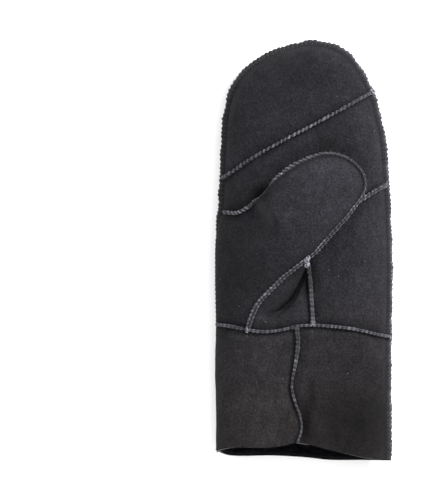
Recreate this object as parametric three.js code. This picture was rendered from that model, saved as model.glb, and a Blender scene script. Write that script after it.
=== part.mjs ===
// A sheepskin mitten for the left hand, lying on its back with the palm up and the thumb across the palm.
// Millimetres: +X to the right, +Y to the fingertips, +Z up. The origin is under the middle of its outline.

import * as THREE from 'three';

// Driving sizes
const hand = { width: 124, length: 206, height: 35 };
const cuff = { width: 121, length: 100, height: 32 };
const thumb = { width: 59, length: 66, thickness: 24, angle: 33.3, fade: 72, neck: 4, restGap: 1.6, foldGap: 3.4 };
const skin = { thickness: 3 };
const seam = { height: 3, width: 2.6, seat: 0.4, gap: 0.3, valley: 2.2, valleyReach: 9, underValley: 4, tightSeat: 0.85 };
const edge = { height: 12, topRoll: 38, underRoll: 20, tuck: 5, valleyFade: 13 };
const fleece = { thickness: 5, depth: 34, setBack: 1.6, seat: 0.5 };

// Reaches of the thumb's rounding, as shares of its width, and the stretch over which the gusset turns over.
const thumbForm = { front: 0.42, under: 0.28, join: 0.6, loose: 0.19, fold: 0.14, ground: 0.49, gussetFall: 2.2, free: 0.98 };
const neckTurn = { at: 0.36, half: 0.03 };
// Where a seam's ridge is pressed flatter: as a share of its height, and over which shares of its way.
const pressed = {
  waist: { tall: 0.25, middle: 0.5, reach: 0.07 },
  thumb: { tall: 0.7, middle: 0.66, reach: 0.2 },
};
// Where the cuff's height passes into the hand's, as shares of the cuff's length.
const shoulder = { below: 0.35, span: 0.5 };
// Grids of the panels: columns across and rows along.
const grids = {
  tip: [12, 11], middle: [15, 10], heel: [10, 12], front: [15, 30], inner: [9, 34],
  back: [9, 20], cuffWrap: [24, 9], cuffPalm: [9, 9], fleece: [32, 4],
};
// Fold of the gusset, from the waist up to the knot: how far up and across it lies, and how deep,
// as shares of the gusset's height and of its width there.
const foldRows = [
  { up: 0, across: 0.08, depth: 0 },
  { up: 0.19, across: 0.16, depth: 0.02 },
  { up: 0.27, across: 0.355, depth: 0.05 },
  { up: 0.4, across: 0.51, depth: 0.11 },
  { up: 0.6, across: 0.615, depth: 0.2 },
  { up: 0.8, across: 0.62, depth: 0.16 },
  { up: 1, across: 0.62, depth: 0 },
];
const foldForm = { start: 0.1, end: 0.95, span: 0.15, belly: 1.1, far: 2.2 };
const tuckRise = 8;
// Places along the ridges of the seams.
const steps = {
  upper: 24, lower: 16, heel: 10, cuff: 18, backCentre: 30, side: 96, cuffSide: 12, waist: 56, thumb: 72, crotch: 8,
};

// Outline of the panels, up the left side and down the right: shares of the width and of the hand's length.
// Below the waist, along is a share of the cuff's length.
const outlineRows = [
  { across: -0.532, along: -1.2 },
  { across: -0.53, along: -0.7 },
  { across: -0.527, along: -0.2 },
  { across: -0.521, along: 0 },
  { across: -0.526, along: 0.2 },
  { across: -0.518, along: 0.33 },
  { across: -0.48, along: 0.41 },
  { across: -0.471, along: 0.503 },
  { across: -0.462, along: 0.627 },
  { across: -0.451, along: 0.725 },
  { across: -0.431, along: 0.795 },
  { across: -0.385, along: 0.867 },
  { across: -0.323, along: 0.912 },
  { across: -0.242, along: 0.947 },
  { across: -0.159, along: 0.97 },
  { across: -0.061, along: 0.989 },
  { across: 0.045, along: 1 },
  { across: 0.147, along: 0.992 },
  { across: 0.229, along: 0.969 },
  { across: 0.293, along: 0.932 },
  { across: 0.349, along: 0.875 },
  { across: 0.396, along: 0.812 },
  { across: 0.424, along: 0.745 },
  { across: 0.448, along: 0.682 },
  { across: 0.466, along: 0.598 },
  { across: 0.48, along: 0.485 },
  { across: 0.49, along: 0.343 },
  { across: 0.496, along: 0.164 },
  { across: 0.492, along: 0 },
  { across: 0.491, along: -0.2 },
  { across: 0.495, along: -0.5 },
  { across: 0.498, along: -1.2 },
];

// Where seams meet the outline: shares of the hand's width and length.
const landmarks = {
  attachLeft: { across: -0.481, along: 0.406 },
  upperSeamLeft: { across: -0.471, along: 0.527 },
  upperSeamRight: { across: 0.405, along: 0.833 },
  lowerSeamRight: { across: 0.486, along: 0.503 },
  backCentreTop: { across: -0.045, along: 0.99 },
  crotchCentre: { across: -0.117, along: 0.348 },
  tipLeft: { across: -0.385, along: 0.867 },
  tipRight: { across: 0.349, along: 0.875 },
  baseFoot: { across: -0.331, along: -0.01 },
  heelFoot: { across: 0.056, along: 0 },
  cuffSeamTop: { across: -0.043, along: 0 },
  backCentreFoot: { across: -0.013, along: 0 },
  rimSeam: { across: -0.041, along: -0.858 },
};

// Waist seam and rim lines across each side: shares of the width and of the cuff's length.
const waistPalmRows = [
  { across: -0.521, along: 0.012 },
  { across: -0.44, along: 0 },
  { across: -0.337, along: -0.024 },
  { across: -0.267, along: -0.04 },
  { across: -0.181, along: -0.038 },
  { across: -0.093, along: -0.018 },
  { across: -0.024, along: 0.001 },
  { across: 0.056, along: 0.006 },
  { across: 0.255, along: -0.014 },
  { across: 0.342, along: -0.034 },
  { across: 0.429, along: -0.06 },
  { across: 0.492, along: -0.076 },
];
const waistBackRows = [
  { across: -0.521, along: 0.012 },
  { across: -0.312, along: 0.01 },
  { across: -0.026, along: 0 },
  { across: 0.206, along: 0.008 },
  { across: 0.35, along: -0.02 },
  { across: 0.492, along: -0.076 },
];
const rimPalmRows = [
  { across: -0.53, along: -0.915 },
  { across: -0.44, along: -0.896 },
  { across: -0.221, along: -0.895 },
  { across: -0.12, along: -0.88 },
  { across: -0.041, along: -0.858 },
  { across: 0.027, along: -0.872 },
  { across: 0.193, along: -0.922 },
  { across: 0.389, along: -0.972 },
  { across: 0.497, along: -0.99 },
];
const rimBackRows = [
  { across: -0.53, along: -0.915 },
  { across: -0.46, along: -0.948 },
  { across: -0.176, along: -0.952 },
  { across: 0.02, along: -0.966 },
  { across: 0.15, along: -0.983 },
  { across: 0.382, along: -0.985 },
  { across: 0.497, along: -0.99 },
];

// Seam lines between two ends: shares along the straight line between them and to its left.
const bows = {
  upperSeam: [
    { along: 0.182, left: 0.019 },
    { along: 0.4, left: 0.019 },
    { along: 0.66, left: 0.007 },
  ],
  lowerSeam: [
    { along: 0.4, left: 0.005 },
    { along: 0.7, left: -0.005 },
  ],
  attach: [
    { along: 0.14, left: -0.075 },
    { along: 0.3, left: -0.15 },
    { along: 0.52, left: -0.14 },
    { along: 0.77, left: -0.09 },
  ],
  base: [
    { along: 0.16, left: -0.039 },
    { along: 0.324, left: -0.075 },
    { along: 0.508, left: -0.09 },
    { along: 0.696, left: -0.096 },
    { along: 0.837, left: -0.063 },
  ],
  heel: [
    { along: 0.3, left: 0.01 },
    { along: 0.7, left: 0.005 },
  ],
  crotch: [
    { along: 0.5, left: 0.03 },
  ],
  backCentre: [
    { along: 0.2, left: -0.001 },
    { along: 0.45, left: -0.017 },
    { along: 0.8, left: -0.02 },
  ],
  cuffSeam: [
    { along: 0.14, left: 0.012 },
    { along: 0.3, left: -0.008 },
    { along: 0.53, left: -0.042 },
    { along: 0.75, left: 0.016 },
    { along: 0.87, left: 0.033 },
  ],
};

// Edge of the free thumb, from the upper end of its fold round the tip to the lower end:
// shares of the thumb's length and width, measured from the middle of the fold.
const thumbRows = [
  { along: 0.16, across: 0.546 },
  { along: 0.302, across: 0.563 },
  { along: 0.463, across: 0.563 },
  { along: 0.608, across: 0.546 },
  { along: 0.744, across: 0.515 },
  { along: 0.85, across: 0.46 },
  { along: 0.94, across: 0.376 },
  { along: 1, across: 0.28 },
  { along: 1.04, across: 0.152 },
  { along: 1.045, across: 0.028 },
  { along: 1.01, across: -0.081 },
  { along: 0.924, across: -0.165 },
  { along: 0.821, across: -0.224 },
  { along: 0.666, across: -0.289 },
  { along: 0.5, across: -0.338 },
  { along: 0.31, across: -0.396 },
  { along: 0.12, across: -0.454 },
];

// Where the thumb's edge comes back to the palm.
const knotRow = { along: 0.01, across: -0.465 };

// Soft dents of the palm side: middle and reach as shares of the hand's width, depth in millimetres.
const dentRows = [
  { across: 0.09, along: -0.36, reachX: 0.07, reachY: 0.2, depth: 1.6 },
  { across: 0.03, along: -0.6, reachX: 0.06, reachY: 0.16, depth: 1.4 },
  { across: -0.3, along: -0.4, reachX: 0.16, reachY: 0.12, depth: 1 },
  { across: 0.36, along: -0.3, reachX: 0.1, reachY: 0.2, depth: 0.9 },
  { across: 0.3, along: 0.3, reachX: 0.12, reachY: 0.16, depth: 1 },
  { across: -0.2, along: 1.25, reachX: 0.14, reachY: 0.16, depth: 0.8 },
  { across: 0.16, along: 0.95, reachX: 0.12, reachY: 0.1, depth: 0.7 },
];

// Small maths

const clamp01 = (x) => Math.min(1, Math.max(0, x));
const mix = (a, b, t) => a + (b - a) * t;
const smooth = (x) => {
  const t = clamp01(x);
  return t * t * (3 - 2 * t);
};
// Quarter of an ellipse: rises from 0 with a vertical start to a level 1.
const roll = (x) => Math.sqrt(1 - (1 - clamp01(x)) ** 2);
const easeBoth = (x) => (1 - Math.cos(Math.PI * x)) / 2;
const easeOut = (x) => Math.sin((Math.PI * x) / 2);
// Value of a named column of a table at a place between its rows.
function rowValue(rows, up, name) {
  const next = Math.max(1, rows.findIndex((row) => row.up >= up));
  const below = rows[next - 1];
  return mix(below[name], rows[next][name], clamp01((up - below.up) / (rows[next].up - below.up)));
}
const spaced = (count, from, to) => Array.from({ length: count }, (_, i) => mix(from, to, i / (count - 1)));

// Curves in plan

function curveThrough(points) {
  const spline = new THREE.CatmullRomCurve3(points.map((p) => new THREE.Vector3(p.x, p.y, 0)), false, 'centripetal');
  const samples = spline.getSpacedPoints(points.length * 6).map((p) => new THREE.Vector2(p.x, p.y));
  const last = samples.length - 1;
  const at = (t) => {
    const place = clamp01(t) * last;
    const i = Math.min(last - 1, Math.floor(place));
    return samples[i].clone().lerp(samples[i + 1], place - i);
  };
  return { samples, at };
}

// Nearest place on a curve: its distance and its share of the way.
function nearest(curve, x, y) {
  let best = Infinity;
  let share = 0;
  const pts = curve.samples;
  for (let i = 0; i < pts.length - 1; i++) {
    const ax = pts[i].x;
    const ay = pts[i].y;
    const bx = pts[i + 1].x - ax;
    const by = pts[i + 1].y - ay;
    const t = clamp01(((x - ax) * bx + (y - ay) * by) / (bx * bx + by * by));
    const gap = (x - ax - t * bx) ** 2 + (y - ay - t * by) ** 2;
    if (gap < best) {
      best = gap;
      share = (i + t) / (pts.length - 1);
    }
  }
  return { distance: Math.sqrt(best), share };
}

const part = (curve, from, to) => (t) => curve.at(mix(from, to, t));

// Plan point of a pair of shares, above or below the waist.
function place({ across, along }, alongLength = along < 0 ? cuff.length : hand.length) {
  const width = along < 0 ? mix(hand.width, cuff.width, Math.min(1, -along)) : hand.width;
  return new THREE.Vector2(across * width, along * alongLength);
}
const across = (rows) => curveThrough(rows.map((row) => place(row, cuff.length)));

function bowed(from, to, rows) {
  const run = to.clone().sub(from);
  const left = new THREE.Vector2(-run.y, run.x);
  const inner = rows.map((row) => from.clone().addScaledVector(run, row.along).addScaledVector(left, row.left));
  return curveThrough([from, ...inner, to]);
}

const outline = curveThrough(outlineRows.map((row) => place(row)));
const waistPalm = across(waistPalmRows);
const waistBack = across(waistBackRows);
const rimPalm = across(rimPalmRows);
const rimBack = across(rimBackRows);

const shareOn = (curve, point) => nearest(curve, point.x, point.y).share;
const onOutline = (name) => shareOn(outline, place(landmarks[name]));
const stops = {
  rimLeft: shareOn(outline, rimPalm.at(0)),
  waistLeft: shareOn(outline, waistPalm.at(0)),
  attachLeft: onOutline('attachLeft'),
  upperSeamLeft: onOutline('upperSeamLeft'),
  tipLeft: onOutline('tipLeft'),
  backCentreTop: onOutline('backCentreTop'),
  tipRight: onOutline('tipRight'),
  upperSeamRight: onOutline('upperSeamRight'),
  lowerSeamRight: onOutline('lowerSeamRight'),
  waistRight: shareOn(outline, waistPalm.at(1)),
  rimRight: shareOn(outline, rimPalm.at(1)),
};
const feet = {
  base: shareOn(waistPalm, place(landmarks.baseFoot, cuff.length)),
  heel: shareOn(waistPalm, place(landmarks.heelFoot, cuff.length)),
  cuffSeam: shareOn(waistPalm, place(landmarks.cuffSeamTop, cuff.length)),
  backCentre: shareOn(waistBack, place(landmarks.backCentreFoot, cuff.length)),
  rimSeam: shareOn(rimPalm, place(landmarks.rimSeam)),
};

// The thumb's own axes: along its length and across it, from the middle of its fold.
const thumbMiddle = place(landmarks.crotchCentre);
const thumbTurn = THREE.MathUtils.degToRad(thumb.angle);
const thumbAlong = new THREE.Vector2(Math.cos(thumbTurn), Math.sin(thumbTurn));
const thumbAcross = new THREE.Vector2(-Math.sin(thumbTurn), Math.cos(thumbTurn));
const thumbPoint = (row) => thumbMiddle.clone()
  .addScaledVector(thumbAlong, row.along * thumb.length)
  .addScaledVector(thumbAcross, row.across * thumb.width);
const foldTop = thumbPoint({ along: 0, across: 0.5 });
const knot = thumbPoint(knotRow);
const heelTop = knot.clone().addScaledVector(thumbAcross, -thumb.neck);

const lines = {
  upperSeam: bowed(outline.at(stops.upperSeamLeft), outline.at(stops.upperSeamRight), bows.upperSeam),
  attach: bowed(outline.at(stops.attachLeft), foldTop, bows.attach),
  thumbEdge: curveThrough([foldTop, ...thumbRows.map(thumbPoint), knot]),
  base: bowed(knot, waistPalm.at(feet.base), bows.base),
  heel: bowed(heelTop, waistPalm.at(feet.heel), bows.heel),
  crotch: bowed(foldTop, heelTop, bows.crotch),
  backCentre: bowed(waistBack.at(feet.backCentre), outline.at(stops.backCentreTop), bows.backCentre),
  cuffSeam: bowed(waistPalm.at(feet.cuffSeam), rimPalm.at(feet.rimSeam), bows.cuffSeam),
};
const lowerSeamStart = 0.66;
lines.lowerSeam = bowed(lines.crotch.at(lowerSeamStart), outline.at(stops.lowerSeamRight), bows.lowerSeam);

// Heights

const valleyAt = (curve, x, y, depth) => depth * (1 - smooth(nearest(curve, x, y).distance / seam.valleyReach));
const deepest = (curves, x, y, depth) => Math.max(...curves.map((curve) => valleyAt(curve, x, y, depth)));
const edgeDistance = (x, y) => nearest(outline, x, y).distance;

// Palm side, without the valleys of its seams.
function palmBase(x, y) {
  const share = smooth((y / cuff.length + shoulder.below) / shoulder.span);
  const height = mix(cuff.height, hand.height, share);
  const lift = height - edge.height - seam.gap;
  let z = edge.height + seam.gap + lift * roll(edgeDistance(x, y) / edge.topRoll);
  for (const dent of dentRows) {
    const dx = (x - dent.across * hand.width) / (dent.reachX * hand.width);
    const dy = (y - dent.along * hand.width) / (dent.reachY * hand.width);
    z -= dent.depth * (1 - smooth(Math.hypot(dx, dy)));
  }
  return z;
}

const palmSeams = [lines.upperSeam, lines.lowerSeam, lines.attach, waistPalm, lines.heel, lines.cuffSeam];
const fadeAtEdge = (x, y) => smooth(edgeDistance(x, y) / edge.valleyFade);
const palmTop = (x, y) => palmBase(x, y) - deepest(palmSeams, x, y, seam.valley) * fadeAtEdge(x, y);

const underSeams = [lines.backCentre, waistBack];
function under(x, y) {
  const gap = edgeDistance(x, y);
  const rise = edge.height - seam.gap;
  const level = rise * (1 - roll(gap / edge.underRoll));
  return level + deepest(underSeams, x, y, seam.underValley) * (1 - level / rise);
}

// How far the thumb stands free of the palm: 0 in the palm, 1 from its fold outwards.
const thumbShare = (x, y) => {
  const run = (x - thumbMiddle.x) * thumbAlong.x + (y - thumbMiddle.y) * thumbAlong.y;
  return { run, free: smooth(1 + run / thumb.fade) };
};
const halfThumb = thumb.thickness / 2;

// The whole seam round the thumb, walked so that the outside lies to the left.
const thumbSeam = curveThrough([
  ...spaced(8, 0, 0.93).map(lines.attach.at),
  ...spaced(28, 0, 0.98).map(lines.thumbEdge.at),
  ...spaced(10, 0, 1).map(lines.base.at),
]);
function outOfThumb(x, y) {
  const { share: at } = nearest(thumbSeam, x, y);
  const ahead = thumbSeam.at(at + 0.004).sub(thumbSeam.at(at - 0.004)).normalize();
  return new THREE.Vector3(-ahead.y, ahead.x, 0);
}

function thumbEdgeDistance(x, y) {
  return Math.min(nearest(lines.thumbEdge, x, y).distance, nearest(lines.base, x, y).distance);
}

// Height of the line where the two faces of the thumb meet.
function thumbMid(x, y) {
  const { run, free } = thumbShare(x, y);
  const nearSeam = smooth(nearest(lines.attach, x, y).distance / (thumb.width * thumbForm.join));
  const joined = nearSeam * smooth(edgeDistance(x, y) / edge.topRoll);
  const loose = smooth(1 + run / (thumb.width * thumbForm.loose));
  const share = 1 - (1 - joined) * (1 - loose);
  const ground = mix(palmTop(x, y), palmBase(x, y) + thumb.restGap, smooth(1 + run / (thumb.width * thumbForm.ground)));
  const stand = free * share;
  return { z: ground + halfThumb * stand, swell: halfThumb * stand, stand, free };
}

function thumbFront(x, y) {
  const mid = thumbMid(x, y);
  const way = thumbEdgeDistance(x, y) / (thumb.width * thumbForm.front);
  return mid.z + seam.gap * mid.stand + mid.swell * mix(smooth(way), roll(way), mid.stand);
}

// Underside of the free thumb, at a share of the way in from its edge along a line of the given length.
function thumbUnder(x, y, share, length) {
  const { run } = thumbShare(x, y);
  const gap = mix(thumb.foldGap, thumb.restGap, smooth((run - seam.height - 2 * seam.seat) / (thumb.width * thumbForm.fold)));
  const bulge = roll(share * Math.max(1, length / (thumb.width * thumbForm.under)));
  return palmBase(x, y) + gap + (halfThumb + thumb.restGap - seam.gap - gap) * (1 - bulge);
}

// Patches: a plan point from four edge curves, and a height

function coons({ bottom, top, left, right }) {
  const corner = [bottom(0), bottom(1), top(0), top(1)];
  return (u, v) => {
    const p = bottom(u).multiplyScalar(1 - v).addScaledVector(top(u), v);
    p.addScaledVector(left(v), 1 - u).addScaledVector(right(v), u);
    p.addScaledVector(corner[0], -(1 - u) * (1 - v)).addScaledVector(corner[1], -u * (1 - v));
    p.addScaledVector(corner[2], -(1 - u) * v).addScaledVector(corner[3], -u * v);
    return p;
  };
}

const reversed = (curve) => (t) => curve(1 - t);

// Joins curves end to end, each over its own share of the way.
function chained(...pieces) {
  return (t) => {
    let start = 0;
    for (const [curve, end] of pieces) {
      if (t <= end || end === 1) return curve((t - start) / (end - start));
      start = end;
    }
    return null;
  };
}

// A closed slab of the skin's thickness from a surface, its inside kept above or below the seam's level.
function slab(surface, columns, rows, { keep = (outer, inner) => inner, steer = () => null, trim = {}, facing = 1 } = {}) {
  const { left = seam.gap, right = seam.gap, bottom = seam.gap, top = seam.gap } = trim;
  const width = (v) => surface(0, v).distanceTo(surface(1, v));
  const length = (u) => surface(u, 0).distanceTo(surface(u, 1));
  const outer = [];
  const inner = [];
  const nudge = 0.012;
  for (let j = 0; j < rows; j++) {
    for (let i = 0; i < columns; i++) {
      const u0 = i / (columns - 1);
      const v0 = j / (rows - 1);
      const wide = Math.max(width(v0), 4 * skin.thickness);
      const long = Math.max(length(u0), 4 * skin.thickness);
      const u = mix(left / wide, 1 - right / wide, u0);
      const v = mix(bottom / long, 1 - top / long, v0);
      const here = surface(u, v);
      const uIn = Math.min(1 - 2 * nudge, Math.max(2 * nudge, u));
      const vIn = Math.min(1 - 2 * nudge, Math.max(2 * nudge, v));
      const du = surface(uIn + nudge, vIn).sub(surface(uIn - nudge, vIn));
      const dv = surface(uIn, vIn + nudge).sub(surface(uIn, vIn - nudge));
      const normal = steer(u0, v0, here) ?? du.cross(dv).normalize();
      outer.push(here);
      inner.push(keep(here, here.clone().addScaledVector(normal, -facing * skin.thickness)));
    }
  }
  return closedGrid(outer, inner, columns, rows);
}

function closedGrid(outer, inner, columns, rows, ring = false) {
  const count = outer.length;
  const position = [...outer, ...inner].flatMap((p) => [p.x, p.y, p.z]);
  const index = [];
  const quad = (a, b, c, d) => index.push(a, b, c, a, c, d);
  const at = (i, j) => j * columns + (i % columns);
  const spans = ring ? columns : columns - 1;
  for (let j = 0; j < rows - 1; j++) {
    for (let i = 0; i < spans; i++) {
      quad(at(i, j), at(i + 1, j), at(i + 1, j + 1), at(i, j + 1));
      quad(count + at(i, j), count + at(i, j + 1), count + at(i + 1, j + 1), count + at(i + 1, j));
    }
  }
  for (let i = 0; i < spans; i++) {
    quad(at(i, 0), count + at(i, 0), count + at(i + 1, 0), at(i + 1, 0));
    quad(at(i, rows - 1), at(i + 1, rows - 1), count + at(i + 1, rows - 1), count + at(i, rows - 1));
  }
  if (!ring) {
    for (let j = 0; j < rows - 1; j++) {
      quad(at(0, j), at(0, j + 1), count + at(0, j + 1), count + at(0, j));
      quad(at(columns - 1, j), count + at(columns - 1, j), count + at(columns - 1, j + 1), at(columns - 1, j + 1));
    }
  }
  const geometry = new THREE.BufferGeometry();
  geometry.setAttribute('position', new THREE.Float32BufferAttribute(position, 3));
  geometry.setIndex(volumeOf(index, position) < 0 ? flipped(index) : index);
  geometry.computeVertexNormals();
  return geometry;
}

const flipped = (index) => {
  const out = [];
  for (let i = 0; i < index.length; i += 3) out.push(index[i], index[i + 2], index[i + 1]);
  return out;
};

function volumeOf(index, position) {
  const point = (i) => new THREE.Vector3(position[3 * i], position[3 * i + 1], position[3 * i + 2]);
  let volume = 0;
  for (let i = 0; i < index.length; i += 3) {
    volume += point(index[i]).dot(point(index[i + 1]).cross(point(index[i + 2]))) / 6;
  }
  return volume;
}

// A ridge that stands on a path: a list of places, each with the way it stands up.
function ridge(path, { closed = false, height = seam.height, width = seam.width, seat = seam.seat } = {}) {
  const count = path.length;
  const corners = [];
  path.forEach(({ at, up, tall = 1 }, i) => {
    const before = path[closed ? (i + count - 1) % count : Math.max(0, i - 1)].at;
    const after = path[closed ? (i + 1) % count : Math.min(count - 1, i + 1)].at;
    const ahead = after.clone().sub(before).normalize();
    const side = ahead.clone().cross(up).normalize();
    const rise = side.clone().cross(ahead).normalize();
    for (const [s, h] of [[-0.5, 0], [0.5, 0], [0.5, 1], [-0.5, 1]]) {
      corners.push(at.clone().addScaledVector(side, s * width).addScaledVector(rise, seat + h * tall * height));
    }
  });
  const index = [];
  const quad = (a, b, c, d) => index.push(a, b, c, a, c, d);
  const spans = closed ? count : count - 1;
  for (let i = 0; i < spans; i++) {
    const a = 4 * i;
    const b = 4 * ((i + 1) % count);
    for (let k = 0; k < 4; k++) {
      const next = (k + 1) % 4;
      quad(a + k, a + next, b + next, b + k);
    }
  }
  if (!closed) {
    const end = 4 * (count - 1);
    quad(0, 3, 2, 1);
    quad(end, end + 1, end + 2, end + 3);
  }
  const position = corners.flatMap((p) => [p.x, p.y, p.z]);
  const geometry = new THREE.BufferGeometry();
  geometry.setAttribute('position', new THREE.Float32BufferAttribute(position, 3));
  geometry.setIndex(volumeOf(index, position) < 0 ? flipped(index) : index);
  geometry.computeVertexNormals();
  return geometry;
}

const lifted = (plan, height) => (u, v) => {
  const p = plan(u, v);
  return new THREE.Vector3(p.x, p.y, height(p.x, p.y));
};
const above = (outer, inner) => {
  inner.z = Math.max(inner.z, edge.height + seam.gap);
  return inner;
};
const below = (outer, inner) => {
  inner.z = Math.min(inner.z, edge.height - seam.gap);
  return inner;
};

// Panels

const suede = () => new THREE.MeshStandardMaterial({ color: 0x2c2b2d, roughness: 0.95, metalness: 0 });
const wool = () => new THREE.MeshStandardMaterial({ color: 0x0d0e12, roughness: 1, metalness: 0 });
const cutEdge = () => new THREE.MeshStandardMaterial({ color: 0x5b6068, roughness: 0.9, metalness: 0 });

const mitten = new THREE.Group();
function add(name, geometry, material) {
  const mesh = new THREE.Mesh(geometry, material);
  mesh.name = name;
  mitten.add(mesh);
}

// Where the side seam is rolled under the left edge, and how far.
const tuckAt = (share) => edge.tuck
  * smooth((stops.attachLeft - share) / ((stops.attachLeft - stops.waistLeft) * 0.35));

// Point at a distance inwards from the outline.
function inward(share, distance) {
  const step = 0.002;
  const along = outline.at(share + step).sub(outline.at(share - step)).normalize();
  return outline.at(share).add(new THREE.Vector2(along.y, -along.x).multiplyScalar(distance));
}

// Palm side of the hand
const tipPlan = coons({
  bottom: lines.upperSeam.at,
  top: part(outline, stops.tipLeft, stops.tipRight),
  left: part(outline, stops.upperSeamLeft, stops.tipLeft),
  right: reversed(part(outline, stops.tipRight, stops.upperSeamRight)),
});
const tipSurface = (u, v) => lifted(tipPlan, palmTop)(easeBoth(u), easeOut(v));
add('palm_tip_panel', slab(tipSurface, ...grids.tip, { keep: above, trim: { left: 0, right: 0, top: 0 } }), suede());

const middleBottom = chained(
  [lines.attach.at, easeBoth(4 / (grids.middle[0] - 1))],
  [part(lines.crotch, 0, lowerSeamStart), easeBoth(7 / (grids.middle[0] - 1))],
  [lines.lowerSeam.at, 1],
);
const middlePlan = coons({
  bottom: middleBottom,
  top: lines.upperSeam.at,
  left: part(outline, stops.attachLeft, stops.upperSeamLeft),
  right: reversed(part(outline, stops.upperSeamRight, stops.lowerSeamRight)),
});
const middleSurface = (u, v) => lifted(middlePlan, palmTop)(easeBoth(u), v);
add('palm_middle_panel', slab(middleSurface, ...grids.middle, { keep: above, trim: { left: 0, right: 0 } }), suede());

const heelPlan = coons({
  bottom: part(waistPalm, feet.heel, 1),
  top: lines.lowerSeam.at,
  left: chained([reversed(lines.heel.at), 7 / (grids.heel[1] - 1)], [reversed(part(lines.crotch, lowerSeamStart, 1)), 1]),
  right: reversed(part(outline, stops.lowerSeamRight, stops.waistRight)),
});
const heelSurface = (u, v) => lifted(heelPlan, palmTop)(easeOut(u), v);
add('palm_heel_panel', slab(heelSurface, ...grids.heel, { keep: above, trim: { right: 0 } }), suede());

// Thumb front, rolled round the left edge of the hand
const attachFrom = 9 / (grids.front[1] - 1);
const frontSplit = 15 / (grids.front[1] - 1);
const tipFrom = 0.42;
const tipTo = 0.6;
const frontPlan = coons({
  bottom: part(waistPalm, 0, feet.base),
  top: part(lines.thumbEdge, tipFrom, tipTo),
  left: chained(
    [part(outline, stops.waistLeft, stops.attachLeft), attachFrom],
    [lines.attach.at, frontSplit],
    [part(lines.thumbEdge, 0, tipFrom), 1],
  ),
  right: chained([reversed(lines.base.at), frontSplit], [reversed(part(lines.thumbEdge, tipTo, 1)), 1]),
});
const wrapSpan = 0.16;
const tuckShare = (share) => tuckAt(share) / edge.tuck;
function frontSurface(u, v) {
  const share = mix(stops.waistLeft, stops.attachLeft, v / attachFrom);
  const wrap = v < attachFrom ? wrapSpan * Math.sqrt(tuckShare(share)) : 0;
  const c = mix(-wrap, 1, u);
  if (c < 0) {
    const p = inward(share, edge.tuck * (c / wrapSpan) ** 2);
    return new THREE.Vector3(p.x, p.y, under(p.x, p.y));
  }
  const p = frontPlan(easeBoth(c), v);
  return new THREE.Vector3(p.x, p.y, thumbFront(p.x, p.y));
}
const keepFront = (outer, inner) => {
  const mid = thumbMid(outer.x, outer.y);
  if (mid.free > thumbForm.free) inner.z = Math.max(inner.z, mid.z + seam.gap);
  return inner;
};
// Both panels that meet at the thumb's seam are cut square to the same slope, so their edges lie side by side.
function seamSlope(here) {
  const { stand } = thumbMid(here.x, here.y);
  return outOfThumb(here.x, here.y).multiplyScalar(stand).add(new THREE.Vector3(0, 0, 1 - stand)).normalize();
}
const steerFront = (u, v, here) => (u === 1 || v === 1 || (u === 0 && v > attachFrom) ? seamSlope(here) : null);
add('thumb_front_panel', slab(frontSurface, ...grids.front, { keep: keepFront, steer: steerFront }), suede());

// Gusset and hidden underside of the thumb, which turns over at the knot
const innerSeamSide = chained([reversed(lines.base.at), neckTurn.at], [reversed(lines.thumbEdge.at), 1]);
const innerPalmSide = chained([reversed(lines.heel.at), neckTurn.at], [reversed(lines.crotch.at), 1]);
// How far the waist seam lies from the straight line between the gusset's feet.
const waistSag = (u) => waistPalm.at(mix(feet.base, feet.heel, u))
  .sub(waistPalm.at(feet.base).lerp(waistPalm.at(feet.heel), u));

// The gusset swells from the thumb's seam, drops into its fold and rises again to the palm.
function gussetHeight(p, u, up, width, rise) {
  const palm = palmTop(p.x, p.y);
  const fold = rowValue(foldRows, up, 'across');
  const beyond = clamp01((u - fold) / (1 - fold));
  const valley = palm - rowValue(foldRows, up, 'depth') * width * (1 - smooth(beyond * foldForm.far));
  const belly = palm + rise - (palm + rise - valley) * clamp01(u / fold) ** foldForm.belly;
  const folded = smooth((up - foldForm.start) / foldForm.span) * smooth((foldForm.end - up) / foldForm.span);
  return mix(palm + rise * (1 - u) ** thumbForm.gussetFall, u < fold ? belly : valley, folded);
}

function innerSurface(u, v) {
  const a = innerSeamSide(v);
  const b = innerPalmSide(v);
  const length = a.distanceTo(b);
  const up = clamp01(v / neckTurn.at);
  const p = a.clone().lerp(b, u).addScaledVector(waistSag(u), 1 - smooth(up));
  const turned = smooth((v - neckTurn.at + neckTurn.half) / (2 * neckTurn.half));
  const { swell, stand } = thumbMid(a.x, a.y);
  const z = mix(gussetHeight(p, u, up, length, swell - seam.gap * stand), thumbUnder(p.x, p.y, u, length), turned);
  return new THREE.Vector3(p.x, p.y, z);
}
// On its palm side the panel turns from facing up to facing down as it passes the knot.
const steerInner = (u, v, here) => {
  if (u === 0) return seamSlope(here);
  if (u < 1) return null;
  const turn = Math.PI * smooth((v - neckTurn.at + neckTurn.half) / (2 * neckTurn.half));
  const out = new THREE.Vector3(-thumbAcross.x, -thumbAcross.y, 0).multiplyScalar(Math.sin(turn));
  return out.add(new THREE.Vector3(0, 0, Math.cos(turn))).normalize();
};
const innerTrim = { left: 4 * seam.gap, right: 3 * seam.gap };
add('thumb_inner_panel', slab(innerSurface, ...grids.inner, { steer: steerInner, trim: innerTrim }), suede());

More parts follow.
